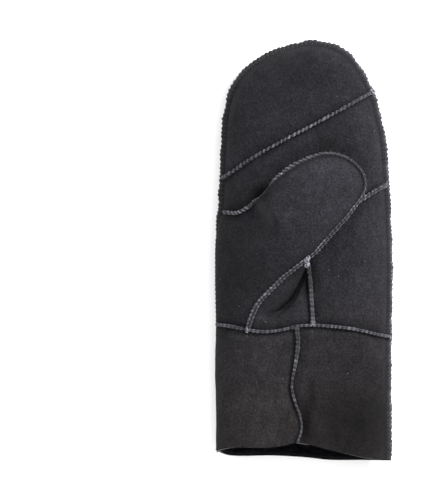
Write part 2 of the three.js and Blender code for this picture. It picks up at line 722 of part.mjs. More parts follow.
// Back of the hand
const tucked = (from, to) => (t) => {
  const share = mix(from, to, t);
  return inward(share, tuckAt(share) + 2 * seam.gap * smooth(tuckRise * tuckShare(share)));
};
const backLeftEdge = tucked(stops.waistLeft, stops.tipLeft);
const backLeftPlan = coons({
  bottom: part(waistBack, shareOn(waistBack, backLeftEdge(0)), feet.backCentre),
  top: part(outline, stops.tipLeft, stops.backCentreTop),
  left: backLeftEdge,
  right: lines.backCentre.at,
});
const backLeftSurface = (u, v) => lifted(backLeftPlan, under)(1 - Math.cos((Math.PI * u) / 2), easeOut(v));
add('back_left_panel', slab(backLeftSurface, ...grids.back, { keep: below, facing: -1, trim: { left: 0, top: 0 } }), suede());

const backRightPlan = coons({
  bottom: part(waistBack, feet.backCentre, 1),
  top: part(outline, stops.backCentreTop, stops.tipRight),
  left: lines.backCentre.at,
  right: reversed(part(outline, stops.tipRight, stops.waistRight)),
});
const backRightSurface = (u, v) => lifted(backRightPlan, under)(easeOut(u), easeOut(v));
add('back_right_panel', slab(backRightSurface, ...grids.back, { keep: below, facing: -1, trim: { right: 0, top: 0 } }), suede());

// Cuff
const cuffLeft = part(outline, stops.rimLeft, stops.waistLeft);
const cuffRight = reversed(part(outline, stops.waistRight, stops.rimRight));
const cuffPalmLeftPlan = coons({
  bottom: part(rimPalm, 0, feet.rimSeam),
  top: part(waistPalm, 0, feet.cuffSeam),
  left: cuffLeft,
  right: reversed(lines.cuffSeam.at),
});
const cuffPalmRightPlan = coons({
  bottom: part(rimPalm, feet.rimSeam, 1),
  top: part(waistPalm, feet.cuffSeam, 1),
  left: reversed(lines.cuffSeam.at),
  right: cuffRight,
});
const cuffPalmPlan = coons({ bottom: rimPalm.at, top: waistPalm.at, left: cuffLeft, right: cuffRight });
const cuffBackPlan = coons({ bottom: rimBack.at, top: waistBack.at, left: cuffLeft, right: cuffRight });

const wrapTurn = 0.4;
function cuffWrapSurface(u, v) {
  if (u < wrapTurn) return lifted(cuffPalmLeftPlan, palmTop)(1 - Math.cos((Math.PI * (1 - u / wrapTurn)) / 2), v);
  return lifted(cuffBackPlan, under)(easeBoth((u - wrapTurn) / (1 - wrapTurn)), v);
}
const keepWrap = (outer, inner) => (outer.x > 0 && outer.z < edge.height ? below(outer, inner) : inner);
add('cuff_wrap_panel', slab(cuffWrapSurface, ...grids.cuffWrap, { keep: keepWrap, facing: -1, trim: { right: 0 } }), suede());
const cuffPalmSurface = (u, v) => lifted(cuffPalmRightPlan, palmTop)(easeOut(u), v);
add('cuff_palm_panel', slab(cuffPalmSurface, ...grids.cuffPalm, { keep: above, trim: { right: 0 } }), suede());

// Ring round the cuff: over the palm side from right to left, then back under it
function cuffRing(turn, v, palmHeight = palmTop) {
  const t = ((turn % 1) + 1) % 1;
  if (t < 0.5) return lifted(cuffPalmPlan, palmHeight)(easeBoth(1 - 2 * t), v);
  return lifted(cuffBackPlan, under)(easeBoth(2 * t - 1), v);
}
function ringNormal(t, v, palmHeight = palmTop) {
  const step = 0.004;
  const around = cuffRing(t + step, v, palmHeight).sub(cuffRing(t - step, v, palmHeight));
  const up = cuffRing(t, Math.min(1, v + step), palmHeight);
  return up.sub(cuffRing(t, Math.max(0, v - step), palmHeight)).cross(around).normalize();
}

// The pile lies level inside the cuff, so it clears the valley of the cuff's seam.
function fleeceRing(columns, rows) {
  const level = (x, y) => palmBase(x, y) - seam.valley * fadeAtEdge(x, y);
  const outer = [];
  const inner = [];
  const start = fleece.setBack / cuff.length;
  const end = (fleece.setBack + fleece.depth) / cuff.length;
  for (let j = 0; j < rows; j++) {
    for (let i = 0; i < columns; i++) {
      const t = i / columns;
      const v = mix(start, end, j / (rows - 1));
      const here = cuffRing(t, v, level);
      const normal = ringNormal(t, v, level);
      outer.push(here.clone().addScaledVector(normal, -skin.thickness - fleece.seat));
      inner.push(here.clone().addScaledVector(normal, -skin.thickness - fleece.seat - fleece.thickness));
    }
  }
  return closedGrid(outer, inner, columns, rows, true);
}
add('cuff_fleece', fleeceRing(...grids.fleece), wool());

// Seams

// Way up from a height field at a plan point.
function normalOf(height, x, y, sign = 1) {
  const step = 0.2;
  const dx = (height(x + step, y) - height(x - step, y)) / (2 * step);
  const dy = (height(x, y + step) - height(x, y - step)) / (2 * step);
  return new THREE.Vector3(-dx * sign, -dy * sign, sign).normalize();
}

const lengthOf = (curve) => curve.samples.slice(1).reduce((sum, p, i) => sum + p.distanceTo(curve.samples[i]), 0);
const shareFor = (curve, distance) => distance / lengthOf(curve);
const tallAt = ({ tall, middle, reach }, t) => mix(tall, 1, smooth(Math.abs(t - middle) / reach));
const clear = seam.width / 2 + seam.height / 2;

function surfaceRidge(curve, height, from, to, count, { sign = 1, seat = seam.seat } = {}) {
  const first = shareFor(curve, from);
  const last = 1 - shareFor(curve, to);
  return ridge(spaced(count, first, last).map((t) => {
    const p = curve.at(t);
    return { at: new THREE.Vector3(p.x, p.y, height(p.x, p.y)), up: normalOf(height, p.x, p.y, sign) };
  }), { seat });
}

add('palm_upper_seam', surfaceRidge(lines.upperSeam, palmTop, clear, clear, steps.upper), cutEdge());
add('palm_lower_seam', surfaceRidge(lines.lowerSeam, palmTop, 2 * clear, clear, steps.lower), cutEdge());
add('thumb_base_seam', surfaceRidge(lines.heel, palmTop, clear, clear, steps.heel, { seat: seam.tightSeat }), cutEdge());
add('cuff_palm_seam', surfaceRidge(lines.cuffSeam, palmTop, clear, seam.gap, steps.cuff), cutEdge());
add('back_centre_seam', surfaceRidge(lines.backCentre, under, clear, 3 * clear, steps.backCentre, { sign: -1 }), cutEdge());

// Ridge on the outline, pointing out of the hand, or down where the seam is tucked under
function outlinePlace(at) {
  const tuck = tuckAt(at);
  const p = inward(at, tuck);
  const out = inward(at, 0).sub(inward(at, 1));
  const outwards = new THREE.Vector3(out.x, out.y, 0);
  const z = tuck > 0 ? under(p.x, p.y) : edge.height;
  const up = outwards.lerp(normalOf(under, p.x, p.y, -1), tuckShare(at)).normalize();
  return { at: new THREE.Vector3(p.x, p.y, mix(edge.height, z, Math.min(1, tuck))), up };
}
const gapOnOutline = shareFor(outline, clear);
add('side_seam', ridge(spaced(steps.side, stops.waistLeft + gapOnOutline, stops.waistRight - gapOnOutline)
  .map(outlinePlace)), cutEdge());
add('cuff_side_seam', ridge(spaced(steps.cuffSide, stops.waistRight + gapOnOutline, stops.rimRight).map(outlinePlace)), cutEdge());

add('waist_seam', ridge(Array.from({ length: steps.waist }, (_, i) => i / steps.waist)
  .map((t) => ({ at: cuffRing(t, 1), up: ringNormal(t, 1), tall: tallAt(pressed.waist, t) })), { closed: true, seat: seam.tightSeat }), cutEdge());

// Seam round the thumb: over the palm, round its free edge and down to the waist
const seamLean = { attach: 2.4, base: 1.5 };
const thumbPlace = (t) => {
  const p = thumbSeam.at(t);
  const mid = thumbMid(p.x, p.y);
  const sideways = smooth((t < 0.5 ? seamLean.attach : seamLean.base) * mid.stand);
  const up = outOfThumb(p.x, p.y).multiplyScalar(sideways).add(new THREE.Vector3(0, 0, 1 - 0.6 * sideways));
  return { at: new THREE.Vector3(p.x, p.y, mid.z), up: up.normalize(), tall: tallAt(pressed.thumb, t) };
};
const thumbEnds = shareFor(thumbSeam, clear);
add('thumb_seam', ridge(spaced(steps.thumb, thumbEnds, 1 - thumbEnds).map(thumbPlace), { seat: seam.tightSeat }), cutEdge());

// Seam hidden in the fold under the thumb
const crotchAcross = new THREE.Vector3(thumbAlong.x, thumbAlong.y, 0);
const crotchFrom = shareFor(lines.crotch, 2 * clear);
add('crotch_seam', ridge(spaced(steps.crotch, crotchFrom, 1 - 2 * crotchFrom).map((t) => {
  const p = lines.crotch.at(t);
  return { at: new THREE.Vector3(p.x, p.y, palmBase(p.x, p.y) + thumb.foldGap / 2), up: crotchAcross };
}), { width: thumb.foldGap - 1.2 }), cutEdge());

// The origin goes under the middle of the whole outline
const box = new THREE.Box3().setFromObject(mitten);
const middle = box.getCenter(new THREE.Vector3());
mitten.position.set(-middle.x, -middle.y, -box.min.z);
mitten.updateMatrixWorld(true);

export default mitten;
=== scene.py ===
"""Looks of a sheepskin mitten for the left hand, dark suede outside and black wool inside.

It lies on its back with the palm up and the thumb across the palm. Sizes are in millimetres up to the
moment a mesh is made, and repeat the model's own plan: X to the right, Y to the fingertips, Z up, with
the waist line at Y = 0.
"""

import math

import bpy
import numpy as np
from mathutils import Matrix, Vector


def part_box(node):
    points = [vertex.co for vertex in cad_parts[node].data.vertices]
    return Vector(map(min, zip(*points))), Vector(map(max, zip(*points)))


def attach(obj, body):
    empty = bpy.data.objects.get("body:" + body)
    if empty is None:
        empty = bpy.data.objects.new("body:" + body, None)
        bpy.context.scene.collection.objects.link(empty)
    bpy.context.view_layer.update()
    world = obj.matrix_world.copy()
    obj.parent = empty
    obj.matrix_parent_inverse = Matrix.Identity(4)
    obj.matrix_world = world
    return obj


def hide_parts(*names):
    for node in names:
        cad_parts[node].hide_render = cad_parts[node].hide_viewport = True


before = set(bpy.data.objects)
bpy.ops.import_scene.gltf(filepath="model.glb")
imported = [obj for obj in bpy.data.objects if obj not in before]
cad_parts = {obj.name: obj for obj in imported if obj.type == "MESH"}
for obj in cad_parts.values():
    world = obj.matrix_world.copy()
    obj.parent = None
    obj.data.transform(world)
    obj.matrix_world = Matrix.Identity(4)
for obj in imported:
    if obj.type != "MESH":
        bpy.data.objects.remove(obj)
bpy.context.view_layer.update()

# Sizes, as in the model
HAND_WIDTH, HAND_LENGTH, HAND_HEIGHT = 124.0, 206.0, 35.0
CUFF_WIDTH, CUFF_LENGTH, CUFF_HEIGHT = 121.0, 100.0, 32.0
THUMB = {"width": 59.0, "length": 66.0, "thickness": 24.0, "angle": 33.3, "fade": 72.0, "neck": 4.0,
         "rest_gap": 1.6, "fold_gap": 3.4}
SKIN = 3.0
SEAM = {"height": 3.0, "gap": 0.3, "valley": 2.2, "reach": 9.0, "under_valley": 4.0}
EDGE = {"height": 12.0, "top_roll": 38.0, "under_roll": 20.0, "tuck": 5.0, "valley_fade": 13.0}
# The fold of the gusset, from the waist up to the knot: shares of the way up and across, and its depth as a
# share of the gusset's width there.
FOLD = [(0.0, 0.08, 0.0), (0.19, 0.16, 0.2), (0.27, 0.34, 0.3), (0.4, 0.49, 0.36), (0.6, 0.59, 0.48),
        (0.8, 0.63, 0.72), (1.0, 0.66, 0.95)]
# How far the fold hangs over its valley, and how round its top is.
FOLD_HANG, FOLD_ROUND = 3.2, 2.6
# The palm sinks towards the edge of the free thumb: depth, reach, and the run in which it sets in.
DIP = {"depth": 2.4, "reach": 10.0, "start": 14.0}
THUMB_FORM = {"front": 0.42, "under": 0.28, "join": 0.6, "loose": 0.19, "fold": 0.14, "ground": 0.49,
              "gusset_fall": 2.2}
NECK_AT, NECK_HALF = 0.36, 0.03
KNOT = (0.01, -0.465)
SHOULDER_BELOW, SHOULDER_SPAN = 0.35, 0.5
FLEECE = {"set_back": 1.6, "depth": 70.0, "round": 260}
STITCH, THREAD_RADIUS = 3.3, 0.31
# Step between a seam's points in millimetres, and the share of the way over which slopes of the cuff
# are taken.
SEAM_STEP, TURN_STEP = 0.4, 0.004

# Outline of the panels, up the left side and down the right: shares across and along.
OUTLINE = [
    (-0.532, -1.2), (-0.53, -0.7), (-0.527, -0.2), (-0.521, 0), (-0.526, 0.2), (-0.518, 0.33),
    (-0.48, 0.41), (-0.471, 0.503), (-0.462, 0.627), (-0.451, 0.725), (-0.431, 0.795),
    (-0.385, 0.867), (-0.323, 0.912), (-0.242, 0.947), (-0.159, 0.97), (-0.061, 0.989), (0.045, 1),
    (0.147, 0.992), (0.229, 0.969), (0.293, 0.932), (0.349, 0.875), (0.396, 0.812), (0.424, 0.745),
    (0.448, 0.682), (0.466, 0.598), (0.48, 0.485), (0.49, 0.343), (0.496, 0.164), (0.492, 0),
    (0.491, -0.2), (0.495, -0.5), (0.498, -1.2),
]
LANDMARKS = {
    "attach_left": (-0.481, 0.406), "upper_seam_left": (-0.471, 0.527), "upper_seam_right": (0.405, 0.833),
    "lower_seam_right": (0.486, 0.503), "back_centre_top": (-0.045, 0.99), "crotch_centre": (-0.117, 0.348),
    "tip_left": (-0.385, 0.867), "tip_right": (0.349, 0.875),
}
FEET = {"base": (-0.331, -0.01), "heel": (0.056, 0), "cuff_seam": (-0.043, 0), "back_centre": (-0.013, 0),
        "rim_seam": (-0.041, -0.858)}
WAIST_PALM = [(-0.521, 0.012), (-0.44, 0), (-0.337, -0.024), (-0.267, -0.04), (-0.181, -0.038),
              (-0.093, -0.018), (-0.024, 0.001), (0.056, 0.006), (0.255, -0.014), (0.342, -0.034),
              (0.429, -0.06), (0.492, -0.076)]
WAIST_BACK = [(-0.521, 0.012), (-0.312, 0.01), (-0.026, 0), (0.206, 0.008), (0.35, -0.02), (0.492, -0.076)]
RIM_PALM = [(-0.53, -0.915), (-0.44, -0.896), (-0.221, -0.895), (-0.12, -0.88), (-0.041, -0.858),
            (0.027, -0.872), (0.193, -0.922), (0.389, -0.972), (0.497, -0.99)]
RIM_BACK = [(-0.53, -0.915), (-0.46, -0.948), (-0.176, -0.952), (0.02, -0.966), (0.15, -0.983),
            (0.382, -0.985), (0.497, -0.99)]

# Seam lines between two ends: shares along the straight line between them and to its left.
BOWS = {
    "upper_seam": [(0.182, 0.019), (0.4, 0.019), (0.66, 0.007)],
    "lower_seam": [(0.4, 0.005), (0.7, -0.005)],
    "attach": [(0.14, -0.075), (0.3, -0.15), (0.52, -0.14), (0.77, -0.09)],
    "base": [(0.16, -0.039), (0.324, -0.075), (0.508, -0.09), (0.696, -0.096), (0.837, -0.063)],
    "heel": [(0.3, 0.01), (0.7, 0.005)],
    "crotch": [(0.5, 0.03)],
    "back_centre": [(0.2, -0.001), (0.45, -0.017), (0.8, -0.02)],
    "cuff_seam": [(0.14, 0.012), (0.3, -0.008), (0.53, -0.042), (0.75, 0.016), (0.87, 0.033)],
}
# Edge of the free thumb: shares of its length and width from the middle of its fold.
THUMB_EDGE = [
    (0.16, 0.546), (0.302, 0.563), (0.463, 0.563), (0.608, 0.546), (0.744, 0.515), (0.85, 0.46),
    (0.94, 0.376), (1, 0.28), (1.04, 0.152), (1.045, 0.028), (1.01, -0.081), (0.924, -0.165),
    (0.821, -0.224), (0.666, -0.289), (0.5, -0.338), (0.31, -0.396), (0.12, -0.454),
]
# Soft dents of the palm side: middle and reach as shares of the hand's width, depth in millimetres.
DENTS = [
    (0.025, -0.4, 0.055, 0.16, 2.6), (-0.005, -0.6, 0.05, 0.17, 2.8), (-0.3, -0.4, 0.16, 0.12, 1.0),
    (0.36, -0.3, 0.1, 0.2, 0.9), (0.3, 0.3, 0.12, 0.16, 1.0), (-0.2, 1.25, 0.14, 0.16, 0.8),
    (0.16, 0.95, 0.12, 0.1, 0.7),
]
# Lighter and darker places of the suede, partly the nap's own tone and partly painted light and shade:
# lighter on the thumb's front and on the right-hand slopes that face the key light, darker on the thumb's
# left side, and painted shade in the pocket below the knot and in the fold where the thumb's seam sinks.
# Middle and reach as shares of the hand's width, and how much lighter.
TONES_AND_SHADE = [
    (0.42, 0.95, 0.16, 0.5, 0.08), (0.16, 0.78, 0.3, 0.26, 0.45), (-0.44, 0.33, 0.14, 0.4, -0.34),
    (0.1, 1.3, 0.45, 0.35, -0.14), (-0.24, 0.786, 0.07, 0.05, -0.6), (-0.26, -0.33, 0.22, 0.38, 0.3),
    (0.34, -0.62, 0.34, 0.4, -0.7), (0.03, -0.52, 0.05, 0.16, -0.3), (0.11, 0.955, 0.14, 0.07, 0.35),
    (0.012, 0.29, 0.045, 0.12, -0.9), (-0.05, 0.45, 0.2, 0.2, -0.06), (-0.02, 1.5, 0.5, 0.12, -0.2),
]
# Relief of the skin in millimetres: depth and size of its soft lumps, depth and reach of the puckers at the
# stitches, and reach of the gathers.
SOFT_LUMPS = [(0.34, 21), (0.17, 9), (0.06, 3.4)]
PUCKER_DEPTH, PUCKER_REACH, GATHER_REACH = 0.2, 1.9, 8
# Painted shade on the suede: reach of the darkening beside the seams, partly darker pressed nap and partly
# painted shade of their valleys, then under the thumb's edge and at the outline, how dark the outline's
# painted shade is, and the darkest tone of all. The leather turns warmer from a place in the hand down to the
# cuff.
SEAM_SHADE_REACH, SHADE_REACH, OUTLINE_REACH, OUTLINE_SHADE, DARKEST = 2.6, 9, 1.6, 0.25, -0.75
WARM_FROM, WARM_SPAN = 60, 150


def smooth(x):
    t = np.clip(x, 0, 1)
    return t * t * (3 - 2 * t)


def roll(x):
    """Quarter of an ellipse: rises from 0 with a vertical start to a level 1."""
    return np.sqrt(np.maximum(0, 1 - (1 - np.clip(x, 0, 1)) ** 2))


def mix(a, b, t):
    return a + (b - a) * t


def ease_both(x):
    return (1 - np.cos(np.pi * x)) / 2


def ease_in(x):
    return 1 - np.cos(np.pi * x / 2)


def ease_out(x):
    return np.sin(np.pi * x / 2)


def unit(v):
    return v / np.maximum(1e-9, np.linalg.norm(v, axis=-1, keepdims=True))


def lumps(x, y, size, seed):
    """Smooth noise from -1 to 1 over a plane, with lumps of the given size."""
    table = np.random.default_rng(seed).uniform(-1, 1, (64, 64))
    gx, gy = x / size, y / size
    ix, iy = np.floor(gx).astype(int), np.floor(gy).astype(int)
    fx, fy = smooth(gx - ix), smooth(gy - iy)
    at = lambda i, j: table[i % 64, j % 64]
    low = mix(at(ix, iy), at(ix + 1, iy), fx)
    high = mix(at(ix, iy + 1), at(ix + 1, iy + 1), fx)
    return mix(low, high, fy)


class Curve:
    """A smooth line in plan through a few points, walked by shares of its length."""

    def __init__(self, points):
        pts = np.asarray(points, float)
        p = np.vstack([2 * pts[0] - pts[1], pts, 2 * pts[-1] - pts[-2]])
        t = np.linspace(0, 1, 40, endpoint=False)[:, None]
        dense = []
        for p0, p1, p2, p3 in zip(p[:-3], p[1:-2], p[2:-1], p[3:]):
            d0, d1, d2 = (math.sqrt(np.linalg.norm(b - a)) for a, b in ((p0, p1), (p1, p2), (p2, p3)))
            m1 = ((p1 - p0) / d0 - (p2 - p0) / (d0 + d1) + (p2 - p1) / d1) * d1
            m2 = ((p2 - p1) / d1 - (p3 - p1) / (d1 + d2) + (p3 - p2) / d2) * d1
            parabola = p1 + m1 * t + (3 * (p2 - p1) - 2 * m1 - m2) * t**2
            dense.append(parabola + (2 * (p1 - p2) + m1 + m2) * t**3)
        dense = np.vstack([*dense, pts[-1:]])
        gone = np.concatenate([[0], np.cumsum(np.linalg.norm(np.diff(dense, axis=0), axis=1))])
        self.length = gone[-1]
        want = np.linspace(0, self.length, max(8, math.ceil(self.length / 1.6)) + 1)
        self.points = np.column_stack([np.interp(want, gone, dense[:, k]) for k in (0, 1)])

    def at(self, t):
        t = np.clip(np.asarray(t, float), 0, 1)
        grid = np.linspace(0, 1, len(self.points))
        return np.stack([np.interp(t, grid, self.points[:, k]) for k in (0, 1)], -1)

    def nearest(self, p):
        """Distance and share of the way of the nearest place on the line, for each point."""
        a, run = self.points[:-1], np.diff(self.points, axis=0)
        size = (run**2).sum(1)
        distance, share = np.empty(len(p)), np.empty(len(p))
        for start in range(0, len(p), 600):
            some = slice(start, start + 600)
            dx = p[some, 0, None] - a[:, 0]
            dy = p[some, 1, None] - a[:, 1]
            t = np.clip((dx * run[:, 0] + dy * run[:, 1]) / size, 0, 1)
            gap = (dx - t * run[:, 0]) ** 2 + (dy - t * run[:, 1]) ** 2
            best = gap.argmin(1)
            rows = np.arange(len(best))
            distance[some] = np.sqrt(gap[rows, best])
            share[some] = (best + t[rows, best]) / len(a)
        return distance, share

    def share_of(self, point):
        return float(self.nearest(np.asarray(point, float)[None])[1][0])


class Spots:
    """Points in plan that keep their distances to the lines once they are worked out."""

    def __init__(self, p):
        self.p = p
        self.x, self.y = p[:, 0], p[:, 1]
        self.known = {}

    def near(self, curve):
        if id(curve) not in self.known:
            self.known[id(curve)] = curve.nearest(self.p)
        return self.known[id(curve)]


def place(row, along_length=None):
    across, along = row
    if along_length is None:
        along_length = CUFF_LENGTH if along < 0 else HAND_LENGTH
    width = mix(HAND_WIDTH, CUFF_WIDTH, min(1, -along)) if along < 0 else HAND_WIDTH
    return np.array([across * width, along * along_length])


def crosswise(rows):
    return Curve([place(row, CUFF_LENGTH) for row in rows])


def bowed(start, end, rows):
    run = end - start
    left = np.array([-run[1], run[0]])
    return Curve([start, *[start + run * a + left * b for a, b in rows], end])


def part(curve, a, b):
    return lambda t: curve.at(mix(a, b, t))


def reverse(line):
    return lambda t: line(1 - t)


def chained(*pieces):
    """Joins lines end to end, each over its own share of the way."""
    def line(t):
        out = np.zeros((len(t), 2))
        start = 0.0
        for piece, end in pieces:
            here = (t >= start) & ((t < end) | (end == 1))
            out[here] = piece((t[here] - start) / (end - start))
            start = end
        return out
    return line


outline = Curve([place(row) for row in OUTLINE])
waist_palm, waist_back = crosswise(WAIST_PALM), crosswise(WAIST_BACK)
rim_palm, rim_back = crosswise(RIM_PALM), crosswise(RIM_BACK)
stops = {name: outline.share_of(place(row)) for name, row in LANDMARKS.items()}
stops["rim_left"] = outline.share_of(rim_palm.at(0))
stops["waist_left"] = outline.share_of(waist_palm.at(0))
stops["waist_right"] = outline.share_of(waist_palm.at(1))
stops["rim_right"] = outline.share_of(rim_palm.at(1))
feet = {name: waist_palm.share_of(place(FEET[name], CUFF_LENGTH)) for name in ("base", "heel", "cuff_seam")}
feet["back_centre"] = waist_back.share_of(place(FEET["back_centre"], CUFF_LENGTH))
feet["rim_seam"] = rim_palm.share_of(place(FEET["rim_seam"]))

thumb_middle = place(LANDMARKS["crotch_centre"])
thumb_turn = math.radians(THUMB["angle"])
thumb_along = np.array([math.cos(thumb_turn), math.sin(thumb_turn)])
thumb_across = np.array([-math.sin(thumb_turn), math.cos(thumb_turn)])


def thumb_point(row):
    return thumb_middle + thumb_along * row[0] * THUMB["length"] + thumb_across * row[1] * THUMB["width"]


fold_top, knot = thumb_point((0, 0.5)), thumb_point(KNOT)
heel_top = knot - thumb_across * THUMB["neck"]
LOWER_SEAM_START = 0.66
lines = {
    "upper_seam": bowed(outline.at(stops["upper_seam_left"]), outline.at(stops["upper_seam_right"]),
                        BOWS["upper_seam"]),
    "attach": bowed(outline.at(stops["attach_left"]), fold_top, BOWS["attach"]),
    "thumb_edge": Curve([fold_top, *[thumb_point(row) for row in THUMB_EDGE], knot]),
    "base": bowed(knot, waist_palm.at(feet["base"]), BOWS["base"]),
    "heel": bowed(heel_top, waist_palm.at(feet["heel"]), BOWS["heel"]),
    "crotch": bowed(fold_top, heel_top, BOWS["crotch"]),
    "back_centre": bowed(waist_back.at(feet["back_centre"]), outline.at(stops["back_centre_top"]),
                         BOWS["back_centre"]),
    "cuff_seam": bowed(waist_palm.at(feet["cuff_seam"]), rim_palm.at(feet["rim_seam"]), BOWS["cuff_seam"]),
}
lines["lower_seam"] = bowed(lines["crotch"].at(LOWER_SEAM_START), outline.at(stops["lower_seam_right"]),
                            BOWS["lower_seam"])
thumb_seam = Curve(np.vstack([
    lines["attach"].at(np.linspace(0, 0.93, 8)),
    lines["thumb_edge"].at(np.linspace(0, 0.98, 28)),
    lines["base"].at(np.linspace(0, 1, 10)),
]))

# Heights

PALM_SEAMS = [lines["upper_seam"], lines["lower_seam"], lines["attach"], waist_palm, lines["heel"],
              lines["cuff_seam"]]
UNDER_SEAMS = [lines["back_centre"], waist_back]
HALF_THUMB = THUMB["thickness"] / 2


def deepest(spots, curves, depth):
    return np.max([depth * (1 - smooth(spots.near(c)[0] / SEAM["reach"])) for c in curves], axis=0)


def palm_base(spots):
    share = smooth((spots.y / CUFF_LENGTH + SHOULDER_BELOW) / SHOULDER_SPAN)
    lift = mix(CUFF_HEIGHT, HAND_HEIGHT, share) - EDGE["height"] - SEAM["gap"]
    z = EDGE["height"] + SEAM["gap"] + lift * roll(spots.near(outline)[0] / EDGE["top_roll"])
    for across, along, reach_x, reach_y, depth in DENTS:
        dx = (spots.x - across * HAND_WIDTH) / (reach_x * HAND_WIDTH)
        dy = (spots.y - along * HAND_WIDTH) / (reach_y * HAND_WIDTH)
        z = z - depth * (1 - smooth(np.hypot(dx, dy)))
    return z


def edge_fade(spots):
    return smooth(spots.near(outline)[0] / EDGE["valley_fade"])


def palm_top(spots):
    dip = DIP["depth"] * np.exp(-(spots.near(lines["thumb_edge"])[0] / DIP["reach"]) ** 2)
    dip = dip * smooth(thumb_run(spots) / DIP["start"])
    return palm_base(spots) - deepest(spots, PALM_SEAMS, SEAM["valley"]) * edge_fade(spots) - dip


def under(spots):
    rise = EDGE["height"] - SEAM["gap"]
    level = rise * (1 - roll(spots.near(outline)[0] / EDGE["under_roll"]))
    return level + deepest(spots, UNDER_SEAMS, SEAM["under_valley"]) * (1 - level / rise)


def thumb_run(spots):
    return (spots.p - thumb_middle) @ thumb_along


def thumb_mid(spots):
    """Height of the line where the two faces of the thumb meet, its half thickness and how free it stands."""
    run = thumb_run(spots)
    free = smooth(1 + run / THUMB["fade"])
    near_seam = smooth(spots.near(lines["attach"])[0] / (THUMB["width"] * THUMB_FORM["join"]))
    joined = near_seam * smooth(spots.near(outline)[0] / EDGE["top_roll"])
    loose = smooth(1 + run / (THUMB["width"] * THUMB_FORM["loose"]))
    share = 1 - (1 - joined) * (1 - loose)
    open_palm = palm_base(spots) + THUMB["rest_gap"]
    ground = mix(palm_top(spots), open_palm, smooth(1 + run / (THUMB["width"] * THUMB_FORM["ground"])))
    stand = free * share
    return ground + HALF_THUMB * stand, HALF_THUMB * stand, stand


def thumb_front(spots):
    mid, swell, stand = thumb_mid(spots)
    distance = np.minimum(spots.near(lines["thumb_edge"])[0], spots.near(lines["base"])[0])
    way = distance / (THUMB["width"] * THUMB_FORM["front"])
    return mid + SEAM["gap"] * stand + swell * mix(smooth(way), roll(way), stand)


def thumb_under(spots, share, length):
    run = thumb_run(spots)
    turn = smooth((run - SEAM["height"] - 0.8) / (THUMB["width"] * THUMB_FORM["fold"]))
    gap = mix(THUMB["fold_gap"], THUMB["rest_gap"], turn)
    bulge = roll(share * np.maximum(1, length / (THUMB["width"] * THUMB_FORM["under"])))
    return palm_base(spots) + gap + (HALF_THUMB + THUMB["rest_gap"] - SEAM["gap"] - gap) * (1 - bulge)


def tuck_at(share):
    """How far the side seam is rolled under the left edge at a share of the outline."""
    reach = (stops["attach_left"] - stops["waist_left"]) * 0.35
    return EDGE["tuck"] * smooth((stops["attach_left"] - share) / reach)


def inward(share, distance):
    along = unit(outline.at(share + 0.002) - outline.at(share - 0.002))
    return outline.at(share) + np.stack([along[..., 1], -along[..., 0]], -1) * np.asarray(distance)[..., None]


def out_of_thumb(spots):
    share = spots.near(thumb_seam)[1]
    ahead = unit(thumb_seam.at(share + 0.004) - thumb_seam.at(share - 0.004))
    return np.stack([-ahead[:, 1], ahead[:, 0]], -1)


# Plans and surfaces of the panels

def coons(bottom, top, left, right):
    ends = np.array([0.0, 1.0])
    c00, c10 = bottom(ends)
    c01, c11 = top(ends)

    def plan(u, v):
        u1, v1 = u[:, None], v[:, None]
        p = bottom(u) * (1 - v1) + top(u) * v1 + left(v) * (1 - u1) + right(v) * u1
        return p - c00 * (1 - u1) * (1 - v1) - c10 * u1 * (1 - v1) - c01 * (1 - u1) * v1 - c11 * u1 * v1
    return plan


def lifted(plan, height):
    def surface(u, v):
        p = plan(u, v)
        return np.column_stack([p, height(Spots(p))])
    return surface


tip_plan = coons(
    lines["upper_seam"].at, part(outline, stops["tip_left"], stops["tip_right"]),
    part(outline, stops["upper_seam_left"], stops["tip_left"]),
    reverse(part(outline, stops["tip_right"], stops["upper_seam_right"])))
middle_plan = coons(
    chained((lines["attach"].at, ease_both(4 / 14)), (part(lines["crotch"], 0, LOWER_SEAM_START), 0.5),
            (lines["lower_seam"].at, 1)),
    lines["upper_seam"].at, part(outline, stops["attach_left"], stops["upper_seam_left"]),
    reverse(part(outline, stops["upper_seam_right"], stops["lower_seam_right"])))
heel_plan = coons(
    part(waist_palm, feet["heel"], 1), lines["lower_seam"].at,
    chained((reverse(lines["heel"].at), 7 / 11), (reverse(part(lines["crotch"], LOWER_SEAM_START, 1)), 1)),
    reverse(part(outline, stops["lower_seam_right"], stops["waist_right"])))

ATTACH_FROM, FRONT_SPLIT, TIP_FROM, TIP_TO, WRAP_SPAN = 9 / 29, 15 / 29, 0.42, 0.6, 0.16
front_plan = coons(
    part(waist_palm, 0, feet["base"]), part(lines["thumb_edge"], TIP_FROM, TIP_TO),
    chained((part(outline, stops["waist_left"], stops["attach_left"]), ATTACH_FROM),
            (lines["attach"].at, FRONT_SPLIT), (part(lines["thumb_edge"], 0, TIP_FROM), 1)),
    chained((reverse(lines["base"].at), FRONT_SPLIT), (reverse(part(lines["thumb_edge"], TIP_TO, 1)), 1)))


def front_surface(u, v):
    """Front of the thumb, rolled round the left edge of the hand."""
    share = mix(stops["waist_left"], stops["attach_left"], v / ATTACH_FROM)
    wrap = np.where(v < ATTACH_FROM, WRAP_SPAN * np.sqrt(np.maximum(0, tuck_at(share) / EDGE["tuck"])), 0)
    c = mix(-wrap, 1, u)
    over = c >= 0
    p = front_plan(ease_both(np.maximum(0, c)), v)
    rolled = inward(share, EDGE["tuck"] * (c / WRAP_SPAN) ** 2)
    p = np.where(over[:, None], p, rolled)
    spots = Spots(p)
    return np.column_stack([p, np.where(over, thumb_front(spots), under(spots))])


inner_seam_side = chained((reverse(lines["base"].at), NECK_AT), (reverse(lines["thumb_edge"].at), 1))
inner_palm_side = chained((reverse(lines["heel"].at), NECK_AT), (reverse(lines["crotch"].at), 1))


def waist_sag(u):
    """How far the waist seam lies from the straight line between the gusset's feet."""
    ends = waist_palm.at([feet["base"], feet["heel"]])
    return waist_palm.at(mix(feet["base"], feet["heel"], u)) - mix(ends[0], ends[1], u[:, None])


